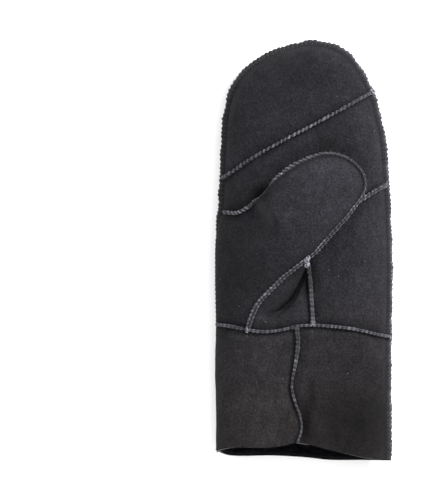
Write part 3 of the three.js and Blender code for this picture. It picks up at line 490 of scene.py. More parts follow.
def inner_surface(u, v):
    """Gusset below the thumb, which turns over at the knot into the thumb's underside."""
    a, b = inner_seam_side(v), inner_palm_side(v)
    length = np.linalg.norm(a - b, axis=1)
    up = np.clip(v / NECK_AT, 0, 1)
    p = mix(a, b, u[:, None]) + waist_sag(u) * (1 - smooth(up))[:, None]
    spots = Spots(p)
    turned = smooth((v - NECK_AT + NECK_HALF) / (2 * NECK_HALF))
    ways, places, depths = (np.array(column) for column in zip(*FOLD))
    fold, depth = np.interp(up, ways, places), np.interp(up, ways, depths) * length
    _, swell, stand = thumb_mid(Spots(a))
    rise = swell - SEAM["gap"] * stand
    palm = palm_top(spots)
    before = np.clip(u / fold, 0, 1)
    beyond = np.maximum(0, u - fold) / (1.001 - fold)
    far = mix(2.4, 1.15, smooth((up - 0.55) / 0.35))
    valley = palm - depth * (1 - smooth(beyond * far))
    belly = palm + rise - (palm + rise - valley) * before**FOLD_ROUND
    soft = palm + rise * (1 - u) ** THUMB_FORM["gusset_fall"]
    gusset = mix(soft, np.where(u < fold, belly, valley), smooth((up - 0.1) / 0.15))
    hang = FOLD_HANG * smooth((up - 0.08) / 0.16) * before**3 * (1 - smooth(beyond * 6)) * (1 - turned)
    p = p + unit(b - a) * (hang * smooth((NECK_AT - v) / (NECK_AT * 0.1)))[:, None]
    return np.column_stack([p, mix(gusset, thumb_under(spots, u, length), turned)])


def back_left_edge(t):
    share = mix(stops["waist_left"], stops["tip_left"], t)
    tuck = tuck_at(share)
    return inward(share, tuck + 2 * SEAM["gap"] * smooth(8 * tuck / EDGE["tuck"]))


back_left_plan = coons(
    part(waist_back, waist_back.share_of(back_left_edge(np.array([0.0]))[0]), feet["back_centre"]),
    part(outline, stops["tip_left"], stops["back_centre_top"]), back_left_edge, lines["back_centre"].at)
back_right_plan = coons(
    part(waist_back, feet["back_centre"], 1), part(outline, stops["back_centre_top"], stops["tip_right"]),
    lines["back_centre"].at, reverse(part(outline, stops["tip_right"], stops["waist_right"])))
cuff_left = part(outline, stops["rim_left"], stops["waist_left"])
cuff_right = reverse(part(outline, stops["waist_right"], stops["rim_right"]))
cuff_palm_left_plan = coons(part(rim_palm, 0, feet["rim_seam"]), part(waist_palm, 0, feet["cuff_seam"]),
                            cuff_left, reverse(lines["cuff_seam"].at))
cuff_palm_right_plan = coons(part(rim_palm, feet["rim_seam"], 1), part(waist_palm, feet["cuff_seam"], 1),
                             reverse(lines["cuff_seam"].at), cuff_right)
cuff_palm_plan = coons(rim_palm.at, waist_palm.at, cuff_left, cuff_right)
cuff_back_plan = coons(rim_back.at, waist_back.at, cuff_left, cuff_right)
WRAP_TURN = 0.4


def cuff_wrap_surface(u, v):
    """One piece of the cuff from its palm seam round the left edge and across the back."""
    over = u < WRAP_TURN
    top = lifted(cuff_palm_left_plan, palm_top)(ease_in(1 - np.minimum(1, u / WRAP_TURN)), v)
    bottom = lifted(cuff_back_plan, under)(ease_both(np.clip((u - WRAP_TURN) / (1 - WRAP_TURN), 0, 1)), v)
    return np.where(over[:, None], top, bottom)


def cuff_ring(turn, v, palm_height=palm_top):
    """Round the cuff: over the palm side from right to left, then back under it."""
    t = turn % 1
    over = t < 0.5
    top = lifted(cuff_palm_plan, palm_height)(ease_both(np.clip(1 - 2 * t, 0, 1)), v)
    bottom = lifted(cuff_back_plan, under)(ease_both(np.clip(2 * t - 1, 0, 1)), v)
    return np.where(over[:, None], top, bottom)


# Where the plan lies in the shared frame: the same corners of the same panels
shift = np.array([
    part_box("palm_heel_panel")[1].x * 1000 - outline.points[:, 0].max(),
    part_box("palm_tip_panel")[1].y * 1000 - outline.points[:, 1].max(),
    0.0,
])

# Materials

def node(tree, kind, inputs=None, **settings):
    made = tree.nodes.new(kind)
    for key, value in settings.items():
        setattr(made, key, value)
    for key, value in (inputs or {}).items():
        if isinstance(value, bpy.types.NodeSocket):
            tree.links.new(value, made.inputs[key])
        else:
            made.inputs[key].default_value = value
    return made


def ramp(tree, fac, stops_list):
    made = node(tree, "ShaderNodeValToRGB", {"Fac": fac})
    elements = made.color_ramp.elements
    while len(elements) < len(stops_list):
        elements.new(0.5)
    for element, (at, value) in zip(elements, stops_list):
        element.position = at
        element.color = (value, value, value, 1) if isinstance(value, float) else (*value, 1)
    return made.outputs["Color"]


def noise(tree, where, scale, detail=3.0, rough=0.55, stretch=None):
    if stretch:
        where = node(tree, "ShaderNodeMapping", {"Vector": where, "Scale": stretch}).outputs["Vector"]
    return node(tree, "ShaderNodeTexNoise",
                {"Vector": where, "Scale": scale, "Detail": detail, "Roughness": rough}).outputs["Fac"]


def maths(tree, operation, a, b):
    return node(tree, "ShaderNodeMath", {0: a, 1: b}, operation=operation).outputs[0]


def mixed(tree, fac, a, b, blend="MIX"):
    made = node(tree, "ShaderNodeMix", {"Factor": fac}, data_type="RGBA", blend_type=blend)
    for socket, value in ((made.inputs[6], a), (made.inputs[7], b)):
        if isinstance(value, bpy.types.NodeSocket):
            tree.links.new(value, socket)
        else:
            socket.default_value = (*value, 1)
    return made.outputs[2]


def attribute(tree, name):
    return node(tree, "ShaderNodeAttribute", attribute_name=name).outputs["Fac"]


def new_material(name, colour):
    material = bpy.data.materials.new(name)
    material.use_nodes = True
    material.diffuse_color = (*colour, 1)
    tree = material.node_tree
    tree.nodes.clear()
    shader = node(tree, "ShaderNodeBsdfPrincipled")
    out = node(tree, "ShaderNodeOutputMaterial")
    tree.links.new(shader.outputs["BSDF"], out.inputs["Surface"])
    where = node(tree, "ShaderNodeTexCoord").outputs["Object"]
    return material, tree, shader, where


def finish(tree, shader, colour, rough, specular, layers, sheen=0.0, tint=(1, 1, 1)):
    """Colour, gloss and bump of a shader: each layer is a height, its strength and its depth in metres."""
    tree.links.new(colour, shader.inputs["Base Color"])
    shader.inputs["Roughness"].default_value = rough
    shader.inputs["Specular IOR Level"].default_value = specular
    if sheen:
        shader.inputs["Sheen Weight"].default_value = sheen
        shader.inputs["Sheen Roughness"].default_value = 0.4
        shader.inputs["Sheen Tint"].default_value = (*tint, 1)
    normal = None
    for height, strength, depth in layers:
        inputs = {"Height": height, "Strength": strength, "Distance": depth}
        if normal is not None:
            inputs["Normal"] = normal
        normal = node(tree, "ShaderNodeBump", inputs).outputs["Normal"]
    tree.links.new(normal, shader.inputs["Normal"])


def suede_material():
    material, tree, shader, where = new_material("black_suede", (0.03, 0.029, 0.032))
    broad = noise(tree, where, 38, 4, 0.6)
    patches = noise(tree, where, 130, 4, 0.6)
    nap = noise(tree, where, 620, 3, 0.65)
    fibre = noise(tree, where, 2600, 2, 0.6)
    pores = noise(tree, where, 1250, 2, 0.6)
    brushed = noise(tree, where, 420, 3, 0.6, (1, 0.28, 1))
    cool = ramp(tree, patches, [(0.3, (0.0071, 0.0069, 0.0083)), (0.7, (0.0109, 0.0105, 0.0128))])
    warm = ramp(tree, patches, [(0.3, (0.008, 0.007, 0.0073)), (0.7, (0.0121, 0.0106, 0.0111))])
    colour = mixed(tree, attribute(tree, "warm"), cool, warm)
    patterns = [
        (1.0, broad, (0.25, 0.74), (0.75, 1.26)), (0.8, nap, (0.34, 0.55), (0.66, 1.5)),
        (0.75, fibre, (0.36, 0.6), (0.66, 1.55)), (0.8, pores, (0.36, 0.55), (0.64, 1.5)),
        (0.7, brushed, (0.35, 0.85), (0.7, 1.18)),
    ]
    for strength, pattern, low, high in patterns:
        colour = mixed(tree, strength, colour, ramp(tree, pattern, [low, high]), "MULTIPLY")
    # tone holds the nap's own lighter and darker places together with the painted shade and painted light of
    # the panels.
    tone = maths(tree, "ADD", attribute(tree, "tone"), 1.0)
    tone_colour = node(tree, "ShaderNodeCombineColor", {"Red": tone, "Green": tone, "Blue": tone}).outputs[0]
    colour = mixed(tree, 1.0, colour, tone_colour, "MULTIPLY")
    cells = node(tree, "ShaderNodeTexVoronoi", {"Vector": where, "Scale": 150.0})
    dot = maths(tree, "LESS_THAN", cells.outputs["Distance"], 0.045)
    chosen = node(tree, "ShaderNodeSeparateColor", {"Color": cells.outputs["Color"]}).outputs["Red"]
    speck = maths(tree, "MULTIPLY", dot, maths(tree, "GREATER_THAN", chosen, 0.72))
    colour = mixed(tree, maths(tree, "MULTIPLY", speck, 0.7), colour, (0.16, 0.16, 0.17))
    layers = [(patches, 0.4, 0.0007), (nap, 0.8, 0.0004), (fibre, 0.6, 0.00015)]
    finish(tree, shader, colour, 0.93, 0.1, layers, 0.12, (0.16, 0.16, 0.185))
    return material


def edge_material():
    """Raw edges of the skin at the seams: paler and woolly on top, as the cut edge is; dark down the sides
    and where the stitches pull them in, which is painted shade.
    """
    material, tree, shader, where = new_material("raw_edge", (0.09, 0.09, 0.1))
    fuzz = noise(tree, where, 1500, 3, 0.7)
    patches = noise(tree, where, 300, 3, 0.6)
    low = ramp(tree, fuzz, [(0.3, (0.006, 0.006, 0.007)), (0.7, (0.014, 0.014, 0.0162))])
    high = ramp(tree, fuzz, [(0.32, (0.062, 0.062, 0.073)), (0.66, (0.225, 0.228, 0.262))])
    pale = ramp(tree, patches, [(0.32, 0.3), (0.62, 1.0)])
    share = maths(tree, "MULTIPLY", attribute(tree, "pale"),
                  node(tree, "ShaderNodeSeparateColor", {"Color": pale}).outputs["Red"])
    colour = mixed(tree, share, low, high)
    layers = [(patches, 0.3, 0.0004), (fuzz, 0.7, 0.00025)]
    finish(tree, shader, colour, 0.9, 0.2, layers, 0.3, (0.4, 0.4, 0.46))
    return material


def thread_material():
    material, tree, shader, where = new_material("dark_thread", (0.06, 0.06, 0.068))
    twist = noise(tree, where, 2400, 2, 0.5, (1, 1, 0.4))
    dark = ramp(tree, twist, [(0.3, (0.008, 0.008, 0.0095)), (0.7, (0.024, 0.024, 0.028))])
    light = ramp(tree, twist, [(0.3, (0.08, 0.081, 0.093)), (0.7, (0.23, 0.233, 0.267))])
    colour = mixed(tree, attribute(tree, "pale"), dark, light)
    finish(tree, shader, colour, 0.62, 0.35, [(twist, 0.6, 0.0001)])
    return material


def wool_material():
    material, tree, shader, where = new_material("black_wool", (0.008, 0.008, 0.011))
    strands = noise(tree, where, 900, 3, 0.6)
    colour = ramp(tree, strands, [(0.3, (0.0006, 0.0007, 0.0012)), (0.75, (0.0025, 0.0027, 0.0042))])
    finish(tree, shader, colour, 0.85, 0.1, [(strands, 0.6, 0.0003)], 0.03, (0.1, 0.1, 0.13))
    return material


suede, raw_edge, thread, wool = suede_material(), edge_material(), thread_material(), wool_material()


# Meshes

def add(name, data):
    made = bpy.data.objects.new(name, data)
    bpy.context.scene.collection.objects.link(made)
    return made


def make(name, verts, faces, materials, face_material=None, values=None, nodes=(), sharp=None):
    """One piece from points in millimetres of the plan and four-cornered faces."""
    verts, faces = np.array(verts, float), np.asarray(faces, int)
    verts[:, 2] = np.maximum(verts[:, 2], 0)
    a, b, c, d = (verts[faces[:, k]] for k in range(4))
    volume = (a * np.cross(b, c)).sum() + (a * np.cross(c, d)).sum()
    if volume < 0:
        faces = faces[:, ::-1]
    mesh = bpy.data.meshes.new(name)
    quads = [tuple(dict.fromkeys(face)) for face in faces.tolist()]
    mesh.from_pydata(((verts + shift) * 0.001).tolist(), [], quads)
    for material in materials:
        mesh.materials.append(material)
    if face_material is not None:
        mesh.polygons.foreach_set("material_index", np.asarray(face_material, np.int32))
    for key, value in (values or {}).items():
        layer = mesh.attributes.new(key, "FLOAT", "POINT")
        layer.data.foreach_set("value", np.asarray(value, np.float32))
    mesh.shade_smooth()
    if sharp:
        mesh.set_sharp_from_angle(angle=math.radians(sharp))
    piece = add(name, mesh)
    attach(piece, "root")
    if nodes:
        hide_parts(*nodes)
    return piece


def grid_faces(columns, rows, start=0, closed=False):
    i, j = np.meshgrid(np.arange(columns if closed else columns - 1), np.arange(rows - 1))
    i, j = i.ravel(), j.ravel()
    after = (i + 1) % columns
    return start + np.column_stack([j * columns + i, j * columns + after, (j + 1) * columns + after,
                                    (j + 1) * columns + i])


def tone_and_shade_of(x, y):
    tone = np.zeros(len(x))
    for across, along, reach_x, reach_y, lighter in TONES_AND_SHADE:
        dx, dy = (x / HAND_WIDTH - across) / reach_x, (y / HAND_WIDTH - along) / reach_y
        tone += lighter * np.exp(-1.4 * (dx**2 + dy**2))
    return tone


def normals_of(points, columns, rows):
    grid = points.reshape(rows, columns, 3)
    return unit(np.cross(np.gradient(grid, axis=1), np.gradient(grid, axis=0))).reshape(-1, 3)


def relief(spots, seams, seed, gathers):
    """Small waves of the skin: soft lumps, and puckers where the stitches pull."""
    gap = np.min([spots.near(c)[0] for c in seams], axis=0)
    soft = sum(depth * lumps(spots.x, spots.y, size, seed + k) for k, (depth, size) in enumerate(SOFT_LUMPS))
    out = soft * smooth(gap / 4)
    for curve in seams:
        distance, share = spots.near(curve)
        wave = np.cos(2 * np.pi * share * curve.length / STITCH)
        size = 1 + 0.5 * lumps(share * curve.length, 0 * share, 7, seed + 5)
        out -= PUCKER_DEPTH * size * wave * np.exp(-distance / PUCKER_REACH)
    for curve, depth in gathers:
        distance, share = spots.near(curve)
        run = share * curve.length
        fold = lumps(run, distance * 0.12, 4.6, seed + 7) + 0.6 * lumps(run, distance * 0.2, 2.4, seed + 8)
        out += depth * fold * np.exp(-distance / GATHER_REACH) * smooth(distance / 1.5)
    return out


def panel(name, node_name, surface, columns, rows, seams, seed, up=1, keep=None, gathers=(), trim=(0, 1),
          shade=0.0, seam_nap_and_shade=0.5):
    """A panel of the skin: its outside in full detail, its inside, and its cut edge all round."""
    u, v = np.meshgrid(np.linspace(*trim, columns), np.linspace(0, 1, rows))
    outer = surface(u.ravel(), v.ravel())
    normal = normals_of(outer, columns, rows) * up
    spots = Spots(outer[:, :2])
    inner = outer - normal * SKIN
    if keep is not None:
        inner = keep(outer, inner)
    outer = outer + normal * relief(spots, seams, seed, gathers)[:, None]
    count = len(outer)
    at = np.arange(count).reshape(rows, columns)
    ring = np.concatenate([at[0, :-1], at[:-1, -1], at[-1, :0:-1], at[:0:-1, 0]])
    after = np.roll(ring, -1)
    outside = grid_faces(columns, rows)
    inside = grid_faces(columns, rows, count)[:, ::-1]
    rim = np.column_stack([after, ring, ring + count, after + count])
    faces = np.vstack([outside, inside, rim])
    which = np.repeat([0, 1, 2], [len(outside), len(inside), len(rim)])
    # Painted shade: darker beside the seams, partly as pressed nap, and darker under the free thumb's edge
    # and along the outline. The table of lighter and darker places adds the nap's own tone with painted light
    # and shade.
    seam_gap = np.min([spots.near(c)[0] for c in seams if c is not outline], axis=0)
    nap_and_shade = -seam_nap_and_shade * np.exp(-(seam_gap / SEAM_SHADE_REACH) ** 2)
    nap_and_shade = nap_and_shade - shade * np.exp(-spots.near(lines["thumb_edge"])[0] / SHADE_REACH)
    nap_and_shade = nap_and_shade - OUTLINE_SHADE * np.exp(-(spots.near(outline)[0] / OUTLINE_REACH) ** 2)
    x, y = np.tile(outer[:, 0], 2), np.tile(outer[:, 1], 2)
    tone = np.maximum(DARKEST, tone_and_shade_of(x, y) + np.tile(nap_and_shade, 2))
    values = {"tone": tone, "warm": smooth((WARM_FROM - y) / WARM_SPAN), "pale": np.zeros(len(tone))}
    return make(name, np.vstack([outer, inner]), faces, [suede, wool, raw_edge], which, values,
                [node_name], sharp=55)


def above(outer, inner):
    inner[:, 2] = np.maximum(inner[:, 2], EDGE["height"] + SEAM["gap"])
    return inner


def below(outer, inner):
    inner[:, 2] = np.minimum(inner[:, 2], EDGE["height"] - SEAM["gap"])
    return inner


def keep_front(outer, inner):
    spots = Spots(outer[:, :2])
    mid = thumb_mid(spots)[0]
    free = smooth(1 + thumb_run(spots) / THUMB["fade"]) > 0.98
    inner[:, 2] = np.where(free, np.maximum(inner[:, 2], mid + SEAM["gap"]), inner[:, 2])
    return inner


def keep_wrap(outer, inner):
    right = (outer[:, 0] > 0) & (outer[:, 2] < EDGE["height"])
    inner[:, 2] = np.where(right, np.minimum(inner[:, 2], EDGE["height"] - SEAM["gap"]), inner[:, 2])
    return inner


def spread(plan, height, along_u, along_v=lambda v: v):
    """A panel on a height field, with its grid drawn closer where it is steep."""
    return lambda u, v: lifted(plan, height)(along_u(u), along_v(v))


L = lines
panel("tip_skin", "palm_tip_panel", spread(tip_plan, palm_top, ease_both, ease_out),
      121, 111, [L["upper_seam"], outline], 10, keep=above)
panel("middle_skin", "palm_middle_panel", spread(middle_plan, palm_top, ease_both),
      127, 91, [L["upper_seam"], L["lower_seam"], L["attach"], outline], 20, keep=above, shade=0.3,
      seam_nap_and_shade=0.75)
panel("heel_skin", "palm_heel_panel", spread(heel_plan, palm_top, ease_out),
      81, 100, [L["lower_seam"], L["heel"], waist_palm, outline], 30, keep=above,
      gathers=[(waist_palm, 0.16)], shade=0.3)
panel("thumb_front_skin", "thumb_front_panel", front_surface, 121, 204,
      [L["attach"], L["thumb_edge"], L["base"], waist_palm, outline], 40, keep=keep_front,
      gathers=[(L["base"], 0.16), (waist_palm, 0.12)])
panel("thumb_inner_skin", "thumb_inner_panel", inner_surface, 61, 176,
      [L["base"], L["thumb_edge"], L["heel"], waist_palm], 50, gathers=[(waist_palm, 0.14)],
      trim=(0.002, 0.997))
panel("back_left_skin", "back_left_panel", spread(back_left_plan, under, ease_in, ease_out),
      61, 171, [L["back_centre"], waist_back, outline], 60, up=-1, keep=below, gathers=[(waist_back, 0.14)])
panel("back_right_skin", "back_right_panel", spread(back_right_plan, under, ease_out, ease_out),
      61, 171, [L["back_centre"], waist_back, outline], 70, up=-1, keep=below, gathers=[(waist_back, 0.14)])
panel("cuff_wrap_skin", "cuff_wrap_panel", cuff_wrap_surface, 201, 91,
      [L["cuff_seam"], waist_palm, waist_back], 80, up=-1, keep=keep_wrap,
      gathers=[(waist_palm, 0.2), (L["cuff_seam"], 0.12)])
panel("cuff_palm_skin", "cuff_palm_panel", spread(cuff_palm_right_plan, palm_top, ease_out),
      81, 91, [L["cuff_seam"], waist_palm, outline], 90, keep=above,
      gathers=[(waist_palm, 0.2), (L["cuff_seam"], 0.12)])


# Seams: two raw edges side by side, sewn over and over

def tubes(paths, radius, sides=6):
    """Points and faces of tubes along paths of equal point counts: paths is (tubes, points, 3)."""
    count, points, _ = paths.shape
    ahead = unit(np.gradient(paths, axis=1))
    helper = np.where(np.abs(ahead[..., 2:]) < 0.9, [0.0, 0.0, 1.0], [1.0, 0.0, 0.0])
    side = unit(np.cross(ahead, helper))
    up = np.cross(side, ahead)
    angle = np.linspace(0, 2 * np.pi, sides, endpoint=False)
    ring = side[:, :, None] * np.cos(angle)[:, None] + up[:, :, None] * np.sin(angle)[:, None]
    size = np.broadcast_to(radius, (count, points))[:, :, None, None]
    verts = (paths[:, :, None] + ring * size).reshape(-1, 3)
    one = grid_faces(sides, points, closed=True)
    start = (np.arange(count) * points * sides)[:, None, None]
    faces = (one[None] + start).reshape(-1, 4)
    if sides == 6:
        last = (points - 1) * sides
        caps = np.array([[0, 1, 2, 3], [0, 3, 4, 5], [last + 3, last + 2, last + 1, last],
                         [last + 5, last + 4, last + 3, last]])[:, ::-1]
        faces = np.vstack([faces, (caps[None] + start).reshape(-1, 4)])
    return verts, faces


def curled(base, a, b, radius, angle):
    """Paths that wind about the paths of base, in the planes of the directions a and b."""
    out = base + a[:, None] * (radius * np.cos(angle))[..., None]
    return out + b[:, None] * (radius * np.sin(angle))[..., None]


def seam_section(cleft):
    """Right lip of a seam from the middle of its foot, then the left one: shares of half its width and of
    its height."""
    lip = [(0, -0.5), (0.95, -0.5), (1, 0.1), (1.04, 0.45), (0.96, 0.74), (0.76, 0.93), (0.5, 1),
           (0.24, 1 - 0.38 * cleft), (0, 1 - cleft)]
    return np.array(lip + [(-a, h) for a, h in lip[-2:0:-1]])


def on_way(value, t):
    """A number for each share of the way, from one number or from a tuple of shares and numbers."""
    return np.interp(t, *value) if isinstance(value, tuple) else np.full(len(t), float(value))


def seam(name, node_name, path, seed, closed=False, height=SEAM["height"], width=2.7, slant=0.4,
         pitch=STITCH, pull=0.4, round_off=0.28, gaps=1.2, lift=0.35, cleft=0.1, crest=0.5, foot=0.0, low=1.0,
         light=0.62, thread_light=0.08, second=1.0):
    """A ridge of two raw edges along a path, puffed between its stitches, and the stitches over it.

    path gives points and upward directions for shares of the way. A shallow cleft makes one row of beads and
    a deep one two. crest is the share of the height from which the edges are pale: the pale top is the cut
    edge's own colour, and the darker sides below it are painted shade of the seam's valley. gaps is how dark
    they are under the stitches, painted shade in the pinches, pull how far these draw them in, and low the
    share of the full height that stands. These may change along the way, as cleft, slant, width and light
    may; light turned down towards nothing is painted shade where a seam runs into a fold. foot is how pale
    the sides are, and second how light the lip on the outer side is beside the other.
    """
    t = np.linspace(0, 1, 400)
    rough, _ = path(t)
    gone = np.concatenate([[0], np.cumsum(np.linalg.norm(np.diff(rough, axis=0), axis=1))])
    count = int(round(gone[-1] / SEAM_STEP))
    pitch = gone[-1] / round(gone[-1] / pitch)
    distance = np.linspace(0, gone[-1], count, endpoint=not closed)
    way = np.interp(distance, gone, t)
    at, up = path(way)
    if closed:
        ahead = unit(np.roll(at, -1, axis=0) - np.roll(at, 1, axis=0))
    else:
        ahead = unit(np.gradient(at, axis=0))
    side = unit(np.cross(ahead, up))
    rise = np.cross(side, ahead)
    rng = np.random.default_rng(seed)
    beads = 2000
    strength = rng.uniform(0.55, 1.3, beads)
    bloom = rng.uniform(0.45, 1.3, beads)
    uneven = lambda size, more: lumps(distance, 0 * distance, size, seed + more)
    stands = on_way(low, way)
    tall = (1 + 0.14 * uneven(9, 0) + 0.07 * uneven(3, 1)) * stands
    lifts = lift * smooth(2 * stands)
    widths = on_way(width, way) * (1 + 0.12 * uneven(7, 4))
    light_at = on_way(light, way) * np.clip(0.85 + 0.4 * uneven(14, 3), 0.4, 1.2)
    pulls, slants, clefts = on_way(pull, way), on_way(slant, way), on_way(cleft, way)[:, None]
    stitch_at = distance / pitch + 0.2 * uneven(5, 6)

    share, h = (seam_section(0) * [0.5, height]).T
    h = mix(h, seam_section(1)[:, 1] * height, clefts)
    lip = (share > 0) & (clefts > 0.3)
    sewn = stitch_at[:, None] + slants[:, None] * share[None]
    whole = np.round(sewn).astype(int)
    pinch = strength[(2 * whole + lip) % beads] * np.exp(-(((sewn - whole) / round_off) ** 2))
    drawn = 1 - pulls[:, None] * pinch
    across = share * widths[:, None] * drawn
    rising = np.maximum(h, 0) * tall[:, None] * drawn + np.minimum(h, 0)
    crumbs = lumps(distance[:, None] * 1.0, h * 3.0 + 40 * (share > 0), 0.9, seed + 2)
    across = across + 0.12 * crumbs * (h > 0.3)
    rising = rising + lifts[:, None]
    verts = at[:, None] + side[:, None] * across[..., None] + rise[:, None] * rising[..., None]
    sides = len(share)
    faces = grid_faces(sides, count, closed=True)
    k = np.arange(sides)
    last = (count - 1) * sides
    if closed:
        faces = np.vstack([faces, np.column_stack([last + k, last + (k + 1) % sides, (k + 1) % sides, k])])
    else:
        caps = [[0, n, n + 1, n + 2] for n in range(1, sides - 2, 2)]
        caps += [[last, last + n + 2, last + n + 1, last + n] for n in range(1, sides - 2, 2)]
        faces = np.vstack([faces, np.array(caps)])
    puff = bloom[(2 * np.floor(sewn).astype(int) + lip) % beads]
    # The cut edge is paler at its top; the darker sides and the dark pinches under the stitches are painted
    # shade, and light along the way turns it down to painted shade in folds.
    pale = np.maximum(foot, smooth((h / height - on_way(crest, way)[:, None]) / 0.3))
    pale = pale * (1 - np.minimum(1, on_way(gaps, way)[:, None] * pinch)) * puff * light_at[:, None]
    pale = pale * np.where((share < 0) & (clefts > 0.3), second, 1.0)
    make(name, verts.reshape(-1, 3), faces, [raw_edge], None, {"pale": pale.ravel()},
         [node_name])

    turns = np.arange(1, int(round(gone[-1] / pitch)))
    middle_at = np.interp(turns, stitch_at, distance)
    at_middle = lambda values: np.interp(middle_at, distance, values)[:, None]
    bend = np.linspace(-1.9, 1.9, 11)
    left_of = 1 - at_middle(pulls)
    sideways = np.sin(bend)[None] * (at_middle(widths) / 2 * left_of + 0.12)
    over = np.where(np.abs(bend) < np.pi / 2, np.abs(np.cos(bend)) ** 0.6, 0)[None]
    upwards = (height * left_of + 0.15) * over - np.maximum(0, np.abs(bend) - np.pi / 2)[None] * 1.6
    along = at_middle(slants) * pitch * np.sin(bend)[None] * 0.5
    along = middle_at[:, None] - along + rng.uniform(-0.15, 0.15, (len(turns), 1))
    centre, s, r = (np.stack([np.interp(along, distance, line[:, k]) for k in range(3)], -1)
                    for line in (at, side, rise))
    upwards = upwards * np.interp(along, distance, tall) + at_middle(lifts)
    paths = centre + s * sideways[..., None] + r * upwards[..., None]
    verts, faces = tubes(paths, THREAD_RADIUS)
    bright = rng.uniform(0.1, 1.1, (len(turns), 1)) * thread_light * np.interp(along, distance, light_at)
    # Painted shade: each thread darkens where it goes down beside the ridge, away from the top.
    bright = bright * np.maximum(0.1, over) ** 2
    make(name + "_stitches", verts, faces, [thread], None, {"pale": np.repeat(bright.ravel(), 6)})


def normal_from(height, p, sign=1.0):
    step = 0.2
    dx, dy = np.array([step, 0]), np.array([0, step])
    slope_x = (height(Spots(p + dx)) - height(Spots(p - dx))) / (2 * step)
    slope_y = (height(Spots(p + dy)) - height(Spots(p - dy))) / (2 * step)
    return unit(np.column_stack([-slope_x * sign, -slope_y * sign, np.full(len(p), sign)]))


def on_surface(curve, height, start=0.0, end=0.0, sign=1.0):
    """A path on a height field, set in from the line's ends by distances."""
    first, last = start / curve.length, 1 - end / curve.length

    def path(t):
        p = curve.at(mix(first, last, t))
        return np.column_stack([p, height(Spots(p))]), normal_from(height, p, sign)
    return path


def outline_path(first, last):
    def path(t):
        share = mix(first, last, t)
        tuck = tuck_at(share)
        p = inward(share, tuck)
        spots = Spots(p)
        out = unit(inward(share, 0 * share) - inward(share, 0 * share + 1))
        outwards = np.column_stack([out, np.zeros(len(out))])
        level = under(spots)
        way = (tuck / EDGE["tuck"])[:, None]
        up = unit(outwards * (1 - way) + normal_from(under, p, -1.0) * way)
        return np.column_stack([p, mix(EDGE["height"], level, np.minimum(1, tuck))]), up
    return path


def waist_path(t):
    p = cuff_ring(t, np.ones(len(t)))
    around = cuff_ring(t + TURN_STEP, np.ones(len(t))) - cuff_ring(t - TURN_STEP, np.ones(len(t)))
    up = p - cuff_ring(t, np.full(len(t), 1 - TURN_STEP))
    return p, unit(np.cross(up, around))


# Places on the thumb's seam: where it sinks between thumb and palm, round the tip, and at the knot
SUNK, OUT_AGAIN, TURN = (-0.295, 0.439), (-0.188, 0.507), (0.351, 0.514)
sunk, out_again, turn = (thumb_seam.share_of(place(row)) for row in (SUNK, OUT_AGAIN, TURN))
at_knot = thumb_seam.share_of(knot)
# Along its way: the share of it, then lean, slant, cleft, width, low, pull, gaps, crest and light there.
# Where the seam sinks between thumb and palm its light is 0, painted shade of the fold.
THUMB_KEYS = ("lean", "slant", "cleft", "width", "low", "pull", "gaps", "crest", "light")
THUMB_WAY = [
    (0, 0.8, -0.55, 0.12, 3.1, 1, 0.36, 1.5, 0.45, 1.15),
    (sunk - 0.02, 0.8, -0.55, 0.12, 3.1, 1, 0.36, 1.5, 0.45, 1.05),
    (sunk + 0.02, 0.8, -0.55, 0.12, 1.6, 0, 0.3, 1.4, 0.6, 0),
    (out_again - 0.02, 0.8, -0.55, 0.12, 1.6, 0, 0.3, 1.4, 0.6, 0),
    (out_again + 0.02, 0.8, -0.55, 0.12, 3.0, 1, 0.36, 1.5, 0.45, 0.85),
    (out_again + 0.12, 0.8, -0.55, 0.12, 3.0, 0.95, 0.3, 1.2, 0.6, 0.75),
    (turn - 0.06, 0.8, -0.55, 0.4, 2.7, 0.8, 0.24, 0.9, 0.86, 0.65),
    (turn + 0.02, 0.75, -0.7, 0.6, 2.8, 0.85, 0.26, 0.7, 0.74, 0.7),
    (turn + 0.08, 0.35, -0.9, 0.75, 3.4, 0.95, 0.28, 0.85, 0.74, 1.1),
    (at_knot - 0.01, 0.3, -0.9, 0.7, 3.6, 1, 0.28, 0.9, 0.72, 1.1),
    (at_knot + 0.01, 0.3, -0.9, 0.6, 3.8, 1, 0.3, 1.1, 0.66, 1.05),
    (1, 0.4, -0.9, 0.6, 3.7, 1, 0.32, 1.2, 0.6, 1),
]
steps, *columns = zip(*THUMB_WAY)
thumb_ridge = {key: (steps, column) for key, column in zip(THUMB_KEYS, columns)}
thumb_lean = thumb_ridge.pop("lean")


def thumb_path(t):
    p = thumb_seam.at(mix(0.008, 0.995, t))
    spots = Spots(p)
    mid, _, stand = thumb_mid(spots)
    gain = np.where(t < 0.5, 2.4, 1.5)
    sideways = (on_way(thumb_lean, t) * smooth(gain * stand))[:, None]
    flat = np.column_stack([out_of_thumb(spots), np.zeros(len(p))])
    up = flat * sideways + np.array([0, 0, 1.0]) * (1 - 0.6 * sideways)
    return np.column_stack([p, mid]), unit(up)


seam("upper_seam", "palm_upper_seam", on_surface(L["upper_seam"], palm_top), 101, pitch=3.5, width=2.4,
     light=0.7)
seam("lower_seam", "palm_lower_seam", on_surface(L["lower_seam"], palm_top, 5), 102, width=3.2, cleft=0.6,
     light=([0, 0.25, 0.5, 1], [0.25, 0.5, 1, 1]), slant=0.5)
